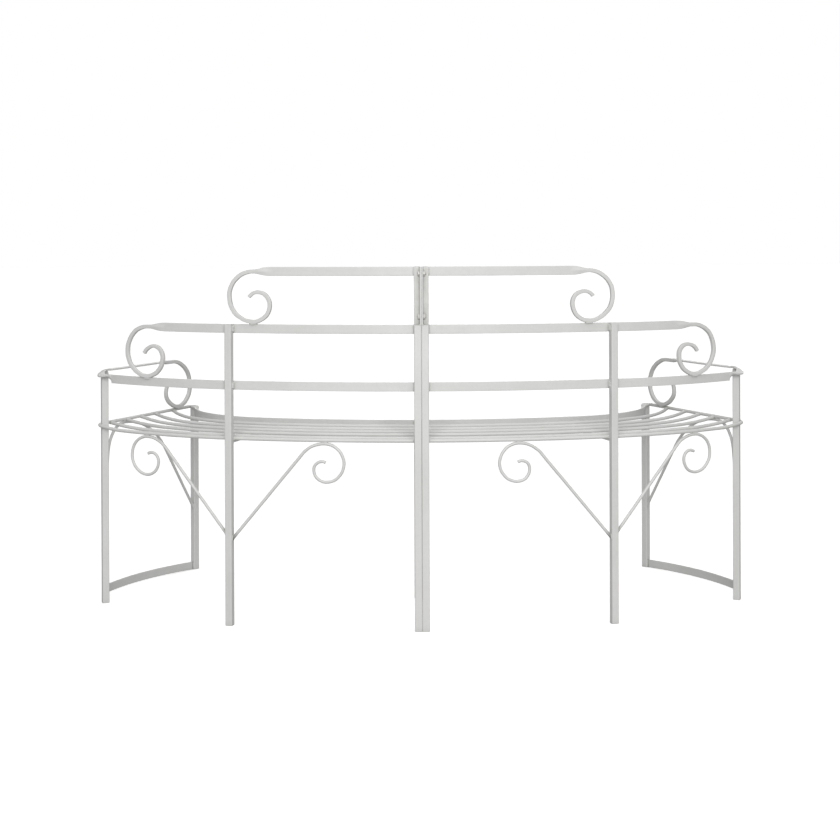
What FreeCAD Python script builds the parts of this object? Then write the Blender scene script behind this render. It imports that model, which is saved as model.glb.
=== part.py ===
import FreeCAD, Part
import math
import os
from FreeCAD import Vector, Placement, Rotation

# Curved garden bench in two mirrored halves: painted steel tube posts on the
# convex back, flat bar rails with scrolled ends, a seat of round rods, flat
# bar front rail, scroll braces, and bolted angles at the centre of the back.
# Millimetres, +Z up, +X to the right seen from behind the back, +Y towards
# the side the sitter faces. Origin on the floor under the middle of the box.

doc = FreeCAD.newDocument("bench")

# ---------------------------------------------------------------- sizes
sheet = doc.addObject("Spreadsheet::Sheet", "Sizes")
CELLS = [
    ("tube_side", 16), ("tube_wall", 1.2), ("tube_corner", 0.8),
    ("half_gap", 0.5), ("angle_gap", 0.1),
    ("bar_tall", 20), ("bar_thick", 4), ("arm_wide", 18),
    ("scroll_side", 9), ("arm_scroll_side", 9), ("rod_dia", 8), ("brace_dia", 7), ("bearer_side", 10), ("bearer_tall", 6),
    ("angle_side", 16), ("angle_wall", 3.5),
    ("back_radius_mid", 1500), ("back_angle_mid", 15.5), ("back_radius_end", 830),
    ("mid_post_angle", 17.1), ("mid_post_top", 666), ("centre_post_top", 666),
    ("end_post_angle", 44.1), ("end_post_inset", 19), ("end_post_turn", 67.9), ("end_post_top", 543.2),
    ("front_leg_x", 584.5), ("front_leg_y", 638.5), ("front_leg_top", 419),
    ("front_leg_turn", 45), ("centre_leg_top", 418),
    ("top_rail_top", 792.5), ("mid_rail_top", 666), ("low_rail_top", 540.5),
    ("top_rail_reach", 327), ("mid_rail_reach", 574),
    ("top_taper_long", 44), ("mid_taper_long", 46), ("arm_taper_long", 40), ("twist_long", 34),
    ("seat_rod_level", 412.5), ("end_rod_level", 420.5),
    ("front_rail_y", 320), ("front_rail_top", 421),
    ("front_radius_mid", 1236), ("front_angle_mid", 18), ("front_radius_end", 288.5),
    ("front_heading", 78),
    ("arm_level", 546), ("arm_scroll_level", 543.5), ("arm_taper_start", 246), ("corner_level", 534.5), ("corner_radius", 23), ("corner_bank", 25),
    ("stretcher_rise", 22), ("stretcher_bow", 22),
    ("bolt_dia", 6), ("bolt_hole", 6.6), ("bolt_flats", 10), ("head_high", 4),
    ("nut_high", 5),
    ("bolt_low", 684), ("bolt_high", 778),
    ("back_offset", -317.2),
]
for row, (name, value) in enumerate(CELLS, start=1):
    sheet.set("A%d" % row, name.replace("_", " "))
    sheet.set("B%d" % row, repr(value))
    sheet.setAlias("B%d" % row, name)
doc.recompute()


def size(name):
    return float(getattr(sheet, name))


def cell(name):
    return "Sizes." + name


nodes = []          # (document object, node name)
YB = size("back_offset")      # world Y of the middle of the back's contact line
T = size("tube_side")
BT = size("bar_thick")
BH = size("bar_tall")
G = size("half_gap")          # from the middle plane to each half


def keep(obj, name):
    obj.Label = name
    nodes.append((obj, name))
    return obj


def rad(a):
    return math.radians(a)


# ---------------------------------------------------------------- flat paths
class Path:
    """A chain of tangent lines and arcs in a plane, walked from a start point."""

    def __init__(self, x, y, heading):
        self.x, self.y, self.h = x, y, heading
        self.segs = []

    def line(self, length):
        x1 = self.x + length * math.cos(rad(self.h))
        y1 = self.y + length * math.sin(rad(self.h))
        self.segs.append(("L", (self.x, self.y), (x1, y1), self.h, self.h, 0.0, None))
        self.x, self.y = x1, y1
        return self

    def arc(self, radius, turn):
        side = 1.0 if turn > 0 else -1.0
        cx = self.x - side * radius * math.sin(rad(self.h))
        cy = self.y + side * radius * math.cos(rad(self.h))
        h1 = self.h + turn
        x1 = cx + side * radius * math.sin(rad(h1))
        y1 = cy - side * radius * math.cos(rad(h1))
        self.segs.append(("A", (self.x, self.y), (x1, y1), self.h, h1, side * radius, (cx, cy)))
        self.x, self.y, self.h = x1, y1, h1
        return self

    def length(self):
        total = 0.0
        for kind, a, b, h0, h1, r, c in self.segs:
            total += math.dist(a, b) if kind == "L" else abs(r) * rad(abs(h1 - h0))
        return total


def side_point(p, h, off):
    return (p[0] - off * math.sin(rad(h)), p[1] + off * math.cos(rad(h)))


def mid_point(seg, off):
    kind, a, b, h0, h1, r, c = seg
    hm = (h0 + h1) / 2.0
    side = 1.0 if r > 0 else -1.0
    rr = abs(r) - side * off
    return (c[0] + side * rr * math.sin(rad(hm)), c[1] - side * rr * math.cos(rad(hm)))


def strip_geometry(path, half):
    """Closed outline of a bar of constant thickness laid along a path."""
    out = []
    left, right = [], []
    for seg in path.segs:
        kind, a, b, h0, h1, r, c = seg
        la, lb = side_point(a, h0, half), side_point(b, h1, half)
        ra, rb = side_point(a, h0, -half), side_point(b, h1, -half)
        if kind == "L":
            left.append(Part.LineSegment(Vector(*la, 0), Vector(*lb, 0)))
            right.append(Part.LineSegment(Vector(*rb, 0), Vector(*ra, 0)))
        else:
            lm, rm = mid_point(seg, half), mid_point(seg, -half)
            left.append(Part.Arc(Vector(*la, 0), Vector(*lm, 0), Vector(*lb, 0)))
            right.append(Part.Arc(Vector(*rb, 0), Vector(*rm, 0), Vector(*ra, 0)))
    first, last = path.segs[0], path.segs[-1]
    s0, s1 = side_point(first[1], first[3], -half), side_point(first[1], first[3], half)
    e0, e1 = side_point(last[2], last[4], half), side_point(last[2], last[4], -half)
    out.append(Part.LineSegment(Vector(*s0, 0), Vector(*s1, 0)))
    out += left
    out.append(Part.LineSegment(Vector(*e0, 0), Vector(*e1, 0)))
    out += list(reversed(right))
    return out


def centre_geometry(path):
    out = []
    for seg in path.segs:
        kind, a, b, h0, h1, r, c = seg
        if kind == "L":
            out.append(Part.LineSegment(Vector(*a, 0), Vector(*b, 0)))
        else:
            m = mid_point(seg, 0.0)
            out.append(Part.Arc(Vector(*a, 0), Vector(*m, 0), Vector(*b, 0)))
    return out


def flat_sketch(name, geometry, placement):
    sk = doc.addObject("Sketcher::SketchObject", name)
    sk.addGeometry(geometry, False)
    sk.Placement = placement
    return sk


def extrude(name, sketch, amount, direction, symmetric=False):
    ex = doc.addObject("Part::Extrusion", name)
    ex.Base = sketch
    ex.DirMode = "Custom"
    ex.Dir = direction
    ex.Solid = True
    ex.Symmetric = symmetric
    ex.setExpression("LengthFwd", amount)
    return ex


def upright(x, y, azimuth):
    """Placement whose sketch X runs level along azimuth and sketch Y runs up."""
    a = rad(azimuth)
    xd = Vector(math.cos(a), math.sin(a), 0)
    zd = xd.cross(Vector(0, 0, 1))
    return Placement(Vector(x, y, 0), Rotation(xd, Vector(0, 0, 1), zd, "ZXY"))


def normal_of(azimuth):
    a = rad(azimuth)
    return Vector(math.sin(a), -math.cos(a), 0)


def rod(name, diameter, spine, start, tangent):
    """A round rod swept along a sketched or wired spine."""
    ring = doc.addObject("Part::Circle", name + "_section")
    ring.setExpression("Radius", cell(diameter) + " / 2")
    ring.Placement = Placement(start, Rotation(Vector(0, 0, 1), tangent))
    sweep = doc.addObject("Part::Sweep", name)
    sweep.Sections = [ring]
    doc.recompute()
    sweep.Spine = (spine, ["Edge%d" % (i + 1) for i in range(len(spine.Shape.Edges))])
    sweep.Solid = True
    sweep.Frenet = False
    sweep.Transition = "Right corner"
    return sweep


def fused(name, parts):
    f = doc.addObject("Part::MultiFuse", name)
    f.Shapes = parts
    f.Refine = False
    return f


def cut(name, base, tool):
    c = doc.addObject("Part::Cut", name)
    c.Base = base
    c.Tool = tool
    c.Refine = False
    return c


def box_wire(centre, along, up_turn, wide, tall):
    """Corners of a rectangle across a bar: wide is level at no turn, tall upright."""
    side = along.cross(Vector(0, 0, 1))
    side.normalize()
    up = Vector(0, 0, 1)
    r = Rotation(along, up_turn)
    a, b = r.multVec(side), r.multVec(up)
    return [centre + a * (wide / 2) * i + b * (tall / 2) * j for i, j in ((-1, -1), (1, -1), (1, 1), (-1, 1))]


def loft(name, wires):
    """Solid through a row of rectangular sections."""
    sections = []
    for i, corners in enumerate(wires):
        poly = doc.addObject("Part::Polygon", "%s_section_%d" % (name, i))
        poly.Nodes = corners
        poly.Close = True
        sections.append(poly)
    f = doc.addObject("Part::Loft", name)
    f.Sections = sections
    f.Solid = True
    f.Ruled = True
    return f


def smooth(f):
    f = max(0.0, min(1.0, f))
    return f * f * (3 - 2 * f)


def ring_of(point, along, side, up, turn_deg, wide, tall):
    """Corners of a wide x tall bar across its line, turned about that line."""
    r = Rotation(along, turn_deg)
    a, b = r.multVec(side), r.multVec(up)
    return [point + a * (wide / 2) * i + b * (tall / 2) * j for i, j in ((-1, -1), (1, -1), (1, 1), (-1, 1))]


def mirror(obj, name):
    m = doc.addObject("Part::Mirroring", name)
    m.Source = obj
    m.Normal = Vector(1, 0, 0)
    m.Base = Vector(0, 0, 0)
    return m


def both(obj, name):
    keep(obj, name + "_right")
    keep(mirror(obj, name + "_mirror"), name + "_left")


# ---------------------------------------------------------------- plan lines
R1, A1, R2 = size("back_radius_mid"), size("back_angle_mid"), size("back_radius_end")
C1 = (0.0, R1)                                   # centre of the middle arc
P1 = (R1 * math.sin(rad(A1)), R1 - R1 * math.cos(rad(A1)))
C2 = (P1[0] - R2 * math.sin(rad(A1)), P1[1] + R2 * math.cos(rad(A1)))


def back_point(angle, inside):
    """A point on the back's contact line, moved inside by a distance."""
    if angle <= A1:
        r, c = R1 - inside, C1
    else:
        r, c = R2 - inside, C2
    return (c[0] + r * math.sin(rad(angle)), c[1] - r * math.cos(rad(angle)))


def back_path(inside, end_angle, start_x):
    """Path along the back from near the middle plane outwards."""
    a0 = math.degrees(math.asin(start_x / (R1 - inside)))
    p = back_point(a0, inside)
    path = Path(p[0], p[1] + YB, a0)
    path.arc(R1 - inside, A1 - a0)
    if end_angle > A1:
        path.arc(R2 - inside, end_angle - A1)
    return path


MPA = size("mid_post_angle")
EPA = size("end_post_angle")
mid_contact = back_point(MPA, 0)
mid_post = (mid_contact[0] + T / 2 * math.sin(rad(MPA)), mid_contact[1] - T / 2 * math.cos(rad(MPA)) + YB)
end_post = back_point(EPA, size("end_post_inset"))
end_post = (end_post[0], end_post[1] + YB)
leg = (size("front_leg_x"), size("front_leg_y") + YB)
END_LONG = math.dist(end_post, leg)
END_AZ = math.degrees(math.atan2(leg[1] - end_post[1], leg[0] - end_post[0]))   # heading of the end line
ed = (math.cos(rad(END_AZ)), math.sin(rad(END_AZ)))
en = (math.sin(rad(END_AZ)), -math.cos(rad(END_AZ)))                            # outward from the seat


def end_point(along, out):
    return (end_post[0] + ed[0] * along + en[0] * out, end_post[1] + ed[1] * along + en[1] * out)


print("end line", round(END_LONG, 1), round(END_AZ, 2))


# ---------------------------------------------------------------- posts and legs
def tube_body(name, x, y, turn, top_expr):
    """Square tube on its own body: rounded square ring, padded to its length."""
    body = doc.addObject("PartDesign::Body", name)
    sk = body.newObject("Sketcher::SketchObject", name + "_ring")
    plane = [f for f in body.Origin.OriginFeatures if f.Role == "XY_Plane"][0]
    sk.AttachmentSupport = [(plane, "")]
    sk.MapMode = "FlatFace"
    for half, rr in ((T / 2, size("tube_corner") + size("tube_wall")), (T / 2 - size("tube_wall"), size("tube_corner"))):
        q = half - rr
        k = rr * math.sqrt(0.5)
        g = []
        for i in range(4):
            c, s = (1, 0, -1, 0)[i], (0, 1, 0, -1)[i]
            def t(u, v):
                return Vector(u * c - v * s, u * s + v * c, 0)
            g.append(Part.LineSegment(t(half, -q), t(half, q)))
            g.append(Part.Arc(t(half, q), t(q + k, q + k), t(q, half)))
        sk.addGeometry(g, False)
    doc.recompute()
    pad = body.newObject("PartDesign::Pad", name + "_pad")
    pad.Profile = sk
    pad.setExpression("Length", top_expr)
    body.Tip = pad
    body.Placement = Placement(Vector(x, y, 0), Rotation(Vector(0, 0, 1), turn))
    return body


both(tube_body("centre_back_post", G + T / 2, YB - T / 2, 0, cell("centre_post_top")), "centre_back_post")
both(tube_body("mid_back_post", mid_post[0], mid_post[1], MPA, cell("mid_post_top")), "mid_back_post")
end_post_body = tube_body("end_back_post", end_post[0], end_post[1], size("end_post_turn"), cell("end_post_top"))
front_leg_c = (G + T / 2, YB + size("front_rail_y") - BT / 2 - T / 2)
both(tube_body("centre_front_leg", front_leg_c[0], front_leg_c[1], 0, cell("centre_leg_top")), "centre_front_leg")
both(tube_body("end_front_leg", leg[0], leg[1], size("front_leg_turn"), cell("front_leg_top")), "end_front_leg")


def post_tool(name, x, y, turn, top=900.0):
    """Outer shape of a post, used to cope the bars that meet it."""
    b = doc.addObject("Part::Box", name)
    b.setExpression("Length", cell("tube_side"))
    b.setExpression("Width", cell("tube_side"))
    b.Height = top
    r = Rotation(Vector(0, 0, 1), turn)
    b.Placement = Placement(Vector(x, y, 0) - r.multVec(Vector(T / 2, T / 2, 0)), r)
    return b


# ---------------------------------------------------------------- flat rails with scrolled ends
def scroll_path(start, heading, run, radii, tip_turn, turns=(90, 90, 90, 90)):
    p = Path(start[0], start[1], heading)
    if run > 0:
        p.line(run)
    for r, a in zip(radii[:-1], turns):
        p.arc(r, -a)
    p.arc(radii[-1], -tip_turn)
    return p


def back_rail(name, top_cell, reach_cell, taper_cell, run, radii, tip_turn):
    """Flat bar on edge, drawn down to a square bar that curls into a scroll."""
    top = size(top_cell)
    reach = size(reach_cell)
    ang = math.degrees(math.asin((reach - (C2[0] if reach > P1[0] else 0)) / ((R2 if reach > P1[0] else R1) - BT / 2)))
    path = back_path(BT / 2, ang, G) if ang > A1 else None
    if path is None:
        a0 = math.degrees(math.asin(G / (R1 - BT / 2)))
        p0 = back_point(a0, BT / 2)
        path = Path(p0[0], p0[1] + YB, a0).arc(R1 - BT / 2, ang - a0)
    sk = flat_sketch(name + "_plan", strip_geometry(path, BT / 2), Placement(Vector(0, 0, top - BH), Rotation()))
    bar = extrude(name + "_bar", sk, cell("bar_tall"), Vector(0, 0, 1))
    along = Vector(math.cos(rad(path.h)), math.sin(rad(path.h)), 0)
    c0 = Vector(path.x, path.y, top - BH / 2)
    tl, sq = size(taper_cell), size("scroll_side")
    wires = []
    for i in range(9):
        f = i / 8.0
        g, e = smooth(f ** 1.5), smooth(1.25 * f)
        wires.append(box_wire(c0 + along * (tl * f), along, 0, BT + (sq - BT) * e, BH + (sq - BH) * g))
    taper = loft(name + "_taper", wires)
    sp = scroll_path((0, top - BH / 2), 0, run, radii, tip_turn)
    c1 = c0 + along * tl
    pl = upright(c1.x, c1.y, path.h)
    sk2 = flat_sketch(name + "_curl", strip_geometry(sp, sq / 2), pl)
    curl = extrude(name + "_scroll", sk2, cell("scroll_side"), normal_of(path.h), True)
    print(name, "end", round(c1.x, 1), round(c1.y - YB, 1), "heading", round(path.h, 2), "tip", round(sp.x, 1), round(sp.y, 1))
    return fused(name, [bar, taper, curl])


both(back_rail("top_back_rail", "top_rail_top", "top_rail_reach", "top_taper_long", 1.0, [55.2, 55.8, 38, 27.3, 24.5], 57), "top_back_rail")
both(back_rail("middle_back_rail", "mid_rail_top", "mid_rail_reach", "mid_taper_long", 8.5, [56.6, 55.9, 44, 24.4, 31.6], 62), "middle_back_rail")

# lower rail: on edge to the end post, twisted flat, round over the post, then the armrest
CR = size("corner_radius")
arm_out = 4.5
ce = end_point(0, arm_out - CR)                  # centre of the corner bend, before sliding along the end line
rr = R2 - BT / 2
# slide the corner along the end line until it is tangent to the rail's arc
lo, hi = -60.0, 60.0
c2w = (C2[0], C2[1] + YB)
for _ in range(60):
    m = (lo + hi) / 2
    c = (ce[0] + ed[0] * m, ce[1] + ed[1] * m)
    if math.dist(c, c2w) > rr - CR:
        lo = m
    else:
        hi = m
corner = (ce[0] + ed[0] * lo, ce[1] + ed[1] * lo)
rail_end_heading = math.degrees(math.atan2(corner[0] - c2w[0], c2w[1] - corner[1]))
print("corner", [round(v, 1) for v in corner], "heading", round(rail_end_heading, 2), "slide", round(lo, 2))
tw = size("twist_long")
twist_angle = math.degrees(tw / rr)
low_top = size("low_rail_top")
path = back_path(BT / 2, rail_end_heading - twist_angle, G)
sk = flat_sketch("low_plan", strip_geometry(path, BT / 2), Placement(Vector(0, 0, low_top - BH), Rotation()))
low_bar = extrude("low_bar", sk, cell("bar_tall"), Vector(0, 0, 1))
AW = size("arm_wide")
NECK, AL = size("corner_level"), size("arm_level")
ASQ, ASL = size("arm_scroll_side"), size("arm_scroll_level")
Z1 = Vector(0, 0, 1)
wires = []
for i in range(13):
    f = (i / 12.0) ** 1.25
    g = 1 - (1 - f) ** 2.5
    a = rail_end_heading - twist_angle * (1 - f)
    c = (c2w[0] + rr * math.sin(rad(a)), c2w[1] - rr * math.cos(rad(a)))
    along = Vector(math.cos(rad(a)), math.sin(rad(a)), 0)
    side = Vector(-along.y, along.x, 0)
    zc = (low_top - BH / 2) * (1 - g) + NECK * g
    wires.append(ring_of(Vector(c[0], c[1], zc), along, side, Z1, 90 * g, BT, BH + (AW - BH) * g))
# over the post the bar climbs and banks outward, then levels out as the armrest
corner_path = Path(c2w[0] + rr * math.sin(rad(rail_end_heading)), c2w[1] - rr * math.cos(rad(rail_end_heading)), rail_end_heading)
corner_path.arc(CR, END_AZ - rail_end_heading)
start_along = (corner_path.x - end_post[0]) * ed[0] + (corner_path.y - end_post[1]) * ed[1]
run_out = 22.0
arc_long = CR * rad(END_AZ - rail_end_heading)
climb = arc_long + run_out * 0.4
kind, pa, pb, h0, h1, pr, pc = corner_path.segs[0]
track = []
for i in range(1, 15):
    h = h0 + (h1 - h0) * i / 14.0
    track.append((pc[0] + pr * math.sin(rad(h)), pc[1] - pr * math.cos(rad(h)), h, arc_long * i / 14.0))
for i in range(1, 7):
    q = end_point(start_along + run_out * i / 6.0, arm_out)
    track.append((q[0], q[1], END_AZ, arc_long + run_out * i / 6.0))
for x, y, h, d in track:
    u = min(1.0, d / climb)
    g = smooth(u) * 0.55 + 0.45 * u
    slope = math.degrees(math.atan((AL - NECK) * (0.55 * 6 * u * (1 - u) + 0.45) / climb)) if u < 1 else 0.0
    bank = size("corner_bank") * math.sin(math.pi * min(1.0, d / (arc_long + run_out)) ** 0.9)
    c, q = math.cos(rad(h)), math.sin(rad(h))
    cc, ss = math.cos(rad(slope)), math.sin(rad(slope))
    wires.append(ring_of(Vector(x, y, NECK + (AL - NECK) * g), Vector(c * cc, q * cc, ss), Vector(-q, c, 0), Vector(-c * ss, -q * ss, cc), 90 + bank, BT, AW))
# the flat arm is drawn down to a square bar, which rolls down to the end rod
ts = size("arm_taper_start")
end_dir = Vector(ed[0], ed[1], 0)
end_side = Vector(-ed[1], ed[0], 0)
q = end_point(ts, arm_out)
wires.append(ring_of(Vector(q[0], q[1], AL), end_dir, end_side, Z1, 90, BT, AW))
tl = size("arm_taper_long")
for i in range(1, 9):
    f = i / 8.0
    g, e = smooth(f), smooth(1.25 * f)
    q = end_point(ts + tl * f, arm_out)
    wires.append(ring_of(Vector(q[0], q[1], AL + (ASL - AL) * g), end_dir, end_side, Z1, 90, BT + (ASQ - BT) * e, AW + (ASQ - AW) * g))
low_arm = loft("low_arm", wires)
curl = Path(0, ASL, 0)
curl.line(17)
for r, a in ((92.6, 45), (56.4, 45), (43.7, 45), (60.0, 45), (71.8, 45), (24.7, 45), (30, 58)):
    curl.arc(r, -a)
q = end_point(ts + tl, arm_out)
sk = flat_sketch("arm_curl", strip_geometry(curl, ASQ / 2), upright(q[0], q[1], END_AZ))
arm_curl = extrude("arm_scroll", sk, cell("arm_scroll_side"), normal_of(END_AZ), True)
both(fused("lower_back_rail_armrest", [low_bar, low_arm, arm_curl]), "lower_back_rail_armrest")
# end post: its end cut to the slope of the banked bar and coped by the bar's underside
slope = Vector(0.448, -0.158, 1)
slope.normalize()
over_bar = doc.addObject("Part::Box", "over_banked_bar")
over_bar.Length, over_bar.Width, over_bar.Height = 120, 120, 60
turn_up = Rotation(Z1, slope)
over_at = Vector(end_post[0], end_post[1], 545.0) - turn_up.multVec(Vector(60, 60, 0))
over_bar.Placement = Placement(over_at, turn_up)
post_cut = cut("end_back_post_sloped", end_post_body, over_bar)
both(cut("end_back_post_coped", post_cut, low_arm), "end_back_post")

# ---------------------------------------------------------------- seat rim rod
ZR = size("seat_rod_level")
RD = size("rod_dia")
rim_in = RD / 2
rim_out = 11.5                                    # rod wrapped round the end post
rb = 22.0
ce = end_point(0, rim_out - rb)
lo, hi = -60.0, 60.0
for _ in range(60):
    m = (lo + hi) / 2
    c = (ce[0] + ed[0] * m, ce[1] + ed[1] * m)
    if math.dist(c, c2w) > R2 - rim_in - rb:
        lo = m
    else:
        hi = m
rc = (ce[0] + ed[0] * lo, ce[1] + ed[1] * lo)
rim_heading = math.degrees(math.atan2(rc[0] - c2w[0], c2w[1] - rc[1]))
rim = back_path(rim_in, rim_heading, G)
ZE = size("end_rod_level")


def along_path(path, step):
    """Points (x, y) along a path, ends included, no further apart than step."""
    out = [path.segs[0][1]]
    for seg in path.segs:
        kind, a, b, h0, h1, r, c = seg
        if kind == "L":
            n = max(1, int(math.ceil(math.dist(a, b) / step)))
            out += [(a[0] + (b[0] - a[0]) * i / n, a[1] + (b[1] - a[1]) * i / n) for i in range(1, n + 1)]
        else:
            n = max(3, int(math.ceil(abs(r) * rad(abs(h1 - h0)) / step)))
            for i in range(1, n + 1):
                h = h0 + (h1 - h0) * i / n
                out.append((c[0] + r * math.sin(rad(h)), c[1] - r * math.cos(rad(h))))
    return out


# along the back level, then a smooth climb past the post, then level again
level = Path(*rim.segs[0][1], rim.segs[0][3])
for kind, a, b, h0, h1, r, c in rim.segs[:-1]:
    level.arc(abs(r), h1 - h0)
kind, a, b, h0, h1, r, c = rim.segs[-1]
level.arc(abs(r), h1 - h0 - math.degrees(70.0 / abs(r)))
edges = []
for seg in level.segs:
    m = mid_point(seg, 0.0)
    edges.append(Part.Arc(Vector(seg[1][0], seg[1][1], ZR), Vector(m[0], m[1], ZR), Vector(seg[2][0], seg[2][1], ZR)).toShape())
h_first = rim.segs[0][3]
tail = Path(level.x, level.y, level.h).arc(abs(r), math.degrees(70.0 / abs(r))).arc(rb, END_AZ - rim_heading)
tail.line(24.0)
run, last, line = 0.0, None, []
for x, y in along_path(tail, 9.0):
    run += math.dist(last, (x, y)) if last else 0.0
    last = (x, y)
    line.append(Vector(x, y, ZR + (ZE - ZR) * smooth(run / tail.length())))
curve = Part.BSplineCurve()
curve.interpolate(Points=line, InitialTangent=Vector(math.cos(rad(level.h)), math.sin(rad(level.h)), 0), FinalTangent=Vector(ed[0], ed[1], 0))
edges.append(curve.toShape())
stop = end_point(END_LONG - 5, rim_out)
edges.append(Part.LineSegment(line[-1], Vector(stop[0], stop[1], ZE)).toShape())
rim_spine = doc.addObject("Part::Feature", "rim_spine")
rim_spine.Shape = Part.Wire(edges)
rim_points = [Vector(rim.segs[0][1][0], rim.segs[0][1][1], ZR)]
rim_rod = rod("rim_rod_full", "rod_dia", rim_spine, rim_points[0], Vector(math.cos(rad(h_first)), math.sin(rad(h_first)), 0))

# ---------------------------------------------------------------- front rail
FR1, FA1, FR2, FH = size("front_radius_mid"), size("front_angle_mid"), size("front_radius_end"), size("front_heading")
FY = size("front_rail_y")
a0 = math.degrees(math.asin(G / FR1))
fp = Path(FR1 * math.sin(rad(a0)), YB + FY + FR1 * (1 - math.cos(rad(a0))), a0)
fp.arc(FR1, FA1 - a0).arc(FR2, FH - FA1)
ft = size("front_rail_top")
sk = flat_sketch("front_plan", strip_geometry(fp, BT / 2), Placement(Vector(0, 0, ft - BH), Rotation()))
front_bar = extrude("front_bar", sk, cell("bar_tall"), Vector(0, 0, 1))
fl_top = size("front_leg_top")
fdir = Vector(math.cos(rad(FH)), math.sin(rad(FH)), 0)
to_leg = (leg[0] - fp.x) * fdir.x + (leg[1] - fp.y) * fdir.y
print("front rail end", round(fp.x, 1), round(fp.y - YB, 1), "to leg", round(to_leg, 1), "miss", round((leg[0] - fp.x) * -fdir.y + (leg[1] - fp.y) * fdir.x, 2))
ftw = to_leg - 10.0
N = 10
wires = []
for i in range(N + 1):
    f = i / float(N)
    g = f * f * (3 - 2 * f)
    zc = (ft - BH / 2) * (1 - g) + (fl_top + BT / 2) * g
    wires.append(box_wire(Vector(fp.x, fp.y, zc) + fdir * (ftw * f), fdir, 90 * g, BT, BH))
front_twist = loft("front_twist", wires)
flat = Path(fp.x + fdir.x * ftw, fp.y + fdir.y * ftw, FH).line(20)
sk = flat_sketch("front_flat_plan", strip_geometry(flat, BH / 2), Placement(Vector(0, 0, fl_top), Rotation()))
front_flat = extrude("front_flat", sk, cell("bar_thick"), Vector(0, 0, 1))
front_rail = fused("front_seat_rail", [front_bar, front_twist, front_flat])
both(front_rail, "front_seat_rail")

# rim rod coped by the end post, and on the front leg by its top and the rail's flat end
rim_a = cut("rim_rod_a", rim_rod, post_tool("cope_rim_post", end_post[0], end_post[1], size("end_post_turn")))
rim_b = cut("rim_rod_b", rim_a, post_tool("cope_rim_leg", leg[0], leg[1], size("front_leg_turn"), size("front_leg_top")))
both(cut("seat_rim_rod", rim_b, front_rail), "seat_rim_rod")

# ---------------------------------------------------------------- seat slats
SLAT_AT = (0.14, 0.33, 0.50, 0.66, 0.835)        # between the rim rod and the front rail
# everything beyond the inner side of the end rod
beyond = doc.addObject("Part::Box", "beyond_end_rod")
beyond.Length, beyond.Width, beyond.Height = END_LONG + 200, 80, 100
bq = end_point(-100, rim_out - RD / 2 + 0.3)
beyond.Placement = Placement(Vector(bq[0], bq[1], 380), Rotation(Vector(ed[0], ed[1], 0), Vector(-en[0], -en[1], 0), Z1, "ZXY"))
bq = end_point(-100, rim_out - RD / 2 + 0.3 + 80)
beyond.Placement = Placement(Vector(bq[0], bq[1], 380), beyond.Placement.Rotation)
for k in range(1, 6):
    f = SLAT_AT[k - 1]
    y0 = rim_in + f * (FY - rim_in)
    r1 = (R1 - rim_in) + f * (FR1 - (R1 - rim_in))
    th = A1 + f * (FA1 - A1)
    r2 = (R2 - rim_in) + f * (FR2 - (R2 - rim_in))
    b0 = math.degrees(math.asin(G / r1))
    p = Path(r1 * math.sin(rad(b0)), YB + y0 + r1 * (1 - math.cos(rad(b0))), b0)
    p.arc(r1, th - b0)
    # second arc runs out to the end line
    lo, hi = 5.0, 85.0
    for _ in range(60):
        m = (lo + hi) / 2
        q = Path(p.x, p.y, p.h).arc(r2, m)
        off = (q.x - end_post[0]) * en[0] + (q.y - end_post[1]) * en[1]
        if off < rim_out:
            lo = m
        else:
            hi = m
    p.arc(r2, lo)
    # level arcs, then one arc in a tilted plane that lifts the end onto the end rod
    rise, over = 7.5, 165.0
    q = Path(p.segs[0][1][0], p.segs[0][1][1], p.segs[0][3])
    q.arc(r1, th - b0).arc(r2, p.h - th - math.degrees(over / r2))
    edges = []
    for seg in q.segs:
        m = mid_point(seg, 0.0)
        edges.append(Part.Arc(Vector(seg[1][0], seg[1][1], ZR), Vector(m[0], m[1], ZR), Vector(seg[2][0], seg[2][1], ZR)).toShape())
    theta = over / r2
    side_in_plan = r2 * (1 - math.cos(theta))
    tilt_a = math.atan2(rise, side_in_plan)
    r3 = r2 * math.cos(tilt_a)                    # keeps the plan line where it was
    tangent = Vector(math.cos(rad(q.h)), math.sin(rad(q.h)), 0)
    inward = Vector(-tangent.y, tangent.x, 0) * math.cos(tilt_a) + Z1 * math.sin(tilt_a)
    start = Vector(q.x, q.y, ZR)

    def on_arc(a):
        return start + tangent * (r3 * math.sin(a)) + inward * (r3 * (1 - math.cos(a)))

    a_end = math.asin(min(0.999, r2 * math.sin(theta) / r3))
    edges.append(Part.Arc(start, on_arc(a_end / 2), on_arc(a_end)).toShape())
    spine = doc.addObject("Part::Feature", "slat_line_%d" % k)
    spine.Shape = Part.Wire(edges)
    t0 = Vector(math.cos(rad(p.segs[0][3])), math.sin(rad(p.segs[0][3])), 0)
    print("slat", k, "tilt", round(math.degrees(tilt_a), 1), "end", [round(v, 1) for v in on_arc(a_end)], "plan end", round(p.x, 1), round(p.y, 1))
    slat = rod("slat_%d" % k, "rod_dia", spine, Vector(p.segs[0][1][0], p.segs[0][1][1], ZR), t0)
    along_end = (p.x - end_post[0]) * ed[0] + (p.y - end_post[1]) * ed[1]
    print("slat", k, "ends along", round(along_end, 1), "heading", round(p.h, 1))
    both(cut("slat_cut_%d" % k, slat, beyond), "seat_slat_%d" % k)

# ---------------------------------------------------------------- bearers under the rods
BS = size("bearer_side")
bz = ZR - RD / 2 - size("bearer_tall")
mid_in = back_point(MPA, 0)
mdir = (-math.sin(rad(MPA)), math.cos(rad(MPA)))
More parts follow.
